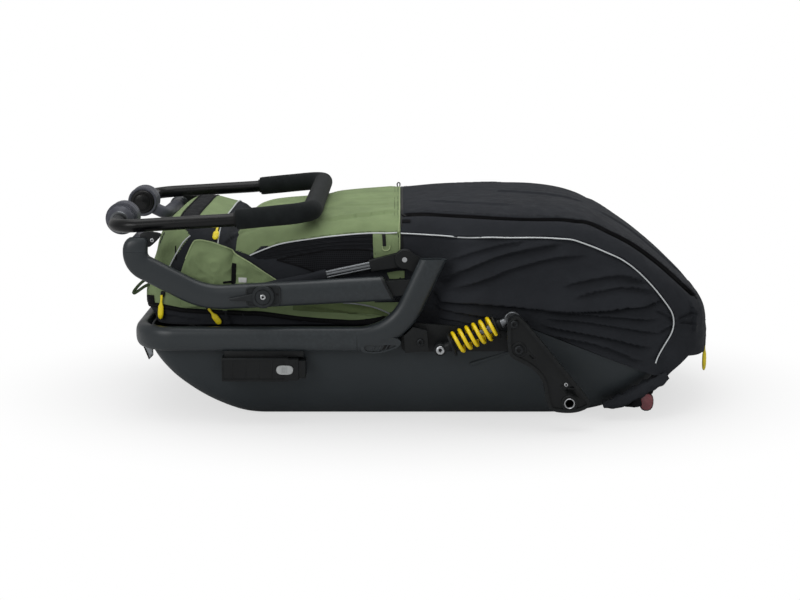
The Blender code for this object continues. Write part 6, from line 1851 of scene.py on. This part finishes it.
def sew_across():
    """Welts and bands that run across the roof, and the rear zip."""
    band("roof_join", cross_line(-0.0275, 0.0002), 0.0011, 0.0010, THREAD_GREEN, True, 2.2, 10)
    band("roof_join_edge", cross_line(-0.0235, 0.0002), 0.0024, 0.0007, SOFT_BLACK, False, 4, 10)
    for index, x in enumerate((-0.422, -0.392)):
        band("arch_binding_%d" % index, cross_line(x, 0.0002, 60), 0.0016, 0.0009, WEBBING, True, 3, 10)
    band("arch_piping", cross_line(-0.3485, 0.0003, 80), 0.0013, 0.0013, PIPING, True, 2, 12, 0.25)
    for index, shift in enumerate((-0.006, 0.006)):
        sewn("join_thread_%d" % index, cross_line(-0.0340 + shift * 0.5, 0.0002), 0, THREAD_DARK, True)
    rear_line = []
    for k in range(40):
        point, normal, _, _ = TREE.ray_cast(Vector((0.9, 0, 0.205 - 0.118 * k / 39)), -AXIS_X)
        if point is not None:
            normal = normal if normal.x > 0 else -normal
            rear_line.append((point + normal * 0.0003, normal))
    zipper("rear_zip", rear_line, 0.0050, False)


for node in ("front_cover", "roof_cover"):
    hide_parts(node)
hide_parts("rear_cover")
for label, side in SIDES:
    for sew in (sew_seams, sew_patches, sew_window, sew_flap, sew_hem):
        sew(label, side)
sew_across()
front_loop()
ride_cloth(green, True)
ride_cloth(rear, False)

TOP_EYE, TOP_TIP = cast(217.6, 229.5)[0], cast(215.4, 241.5)[0]
for node, label, top, end, outward, lift, is_green in (
        ("zip_pull_front", "front", (-0.4468, -0.2384, 0.2235), (-0.4508, -0.2350, 0.1795), (-0.42, -0.9, 0),
         0.0030, False),
        ("zip_pull_side", "side", (-0.366, -0.243, 0.200), (-0.345, -0.243, 0.172), (0, -1, 0),
         0.0030, False),
        ("zip_pull_top", "top", TOP_EYE, TOP_TIP - AXIS_Y * 0.003, (0, -1, 0.55), 0.0040, True),
        ("zip_pull_rear", "rear", (0.5590, 0, 0.0935), (0.5594, 0, 0.030), (0.72, -0.69, 0), 0.0022, False)):
    top = Vector(top)
    hang = Vector(end) - top
    along = hang.normalized()
    across, outward = zip_pull(node, label, top, along, Vector(outward), hang.length, lift)
    slider(label, top, along, across, outward, lift - 0.0022, is_green)


# Light, floor and camera

def world():
    """Plain white behind the trailer and a weaker white light on it."""
    made = bpy.data.worlds.new("plain")
    bpy.context.scene.world = made
    made.use_nodes = True
    tree = made.node_tree
    tree.nodes.clear()
    kinds = ("OutputWorld", "Background", "Background", "MixShader", "LightPath")
    out, grey, white, mixer, paths = (tree.nodes.new("ShaderNode" + kind) for kind in kinds)
    grey.inputs["Color"].default_value = white.inputs["Color"].default_value = (1, 1, 1, 1)
    grey.inputs["Strength"].default_value = 0.45
    tree.links.new(paths.outputs["Is Camera Ray"], mixer.inputs[0])
    tree.links.new(grey.outputs[0], mixer.inputs[1])
    tree.links.new(white.outputs[0], mixer.inputs[2])
    tree.links.new(mixer.outputs[0], out.inputs[0])


def lamp(name, place, target, size, power, size_y=None):
    light = bpy.data.lights.new(name, "AREA")
    light.shape, light.size, light.size_y, light.energy = "RECTANGLE", size, size_y or size, power
    obj = bpy.data.objects.new(name, light)
    obj.location = place
    obj.rotation_euler = (Vector(target) - Vector(place)).to_track_quat("-Z", "Y").to_euler()
    bpy.context.scene.collection.objects.link(obj)


def floor():
    """A pale floor that turns to plain white far from the trailer."""
    n = Nodes("studio_floor")
    n.put(n.shader.inputs["Base Color"], (0.68, 0.68, 0.68, 1))
    n.put(n.shader.inputs["Roughness"], 0.9)
    n.put(n.shader.inputs["Specular IOR Level"], 0.1)
    oval = n.new("VectorMath", {"operation": "MULTIPLY"}, i0=n.coords.outputs["Object"], i1=(1, 1.35, 1))
    reach = n.new("VectorMath", {"operation": "LENGTH"}, i0=oval.outputs[0]).outputs["Value"]
    fade = n.new("MapRange", {"interpolation_type": "SMOOTHSTEP"}, Value=reach, From_Min=0.40, From_Max=0.90,
                 To_Min=0.66)
    seen = n.math("MULTIPLY", fade.outputs[0], n.new("LightPath").outputs["Is Camera Ray"])
    mixed = n.new("MixShader", (), i0=seen, i1=n.shader.outputs[0], i2=n.new("Emission").outputs[0])
    n.put(n.tree.nodes["Material Output"].inputs["Surface"], mixed.outputs[0])
    bm = bmesh.new()
    bmesh.ops.create_grid(bm, x_segments=1, y_segments=1, size=30)
    ground = finish_mesh("studio_floor", bm, n.material)
    ground.location.z = -0.0002


def camera():
    data = bpy.data.cameras.new("camera")
    data.lens, data.sensor_width = 72, 36
    obj = bpy.data.objects.new("camera", data)
    obj.location = CAMERA_AT
    obj.rotation_euler = (math.pi / 2 - CAMERA_PITCH, 0, 0)
    bpy.context.scene.collection.objects.link(obj)
    bpy.context.scene.camera = obj


world()
floor()
camera()
lamp("overhead", (-0.2, -0.1, 2.6), (0, 0, 0.2), 2.6, 33, 2.0)
lamp("front_fill", (-2.1, -2.7, 1.6), (0, 0, 0.2), 1.8, 29, 1.4)
lamp("rim", (1.6, 2.2, 1.8), (0, 0, 0.2), 1.6, 18)
bpy.context.scene.view_settings.view_transform = "Standard"
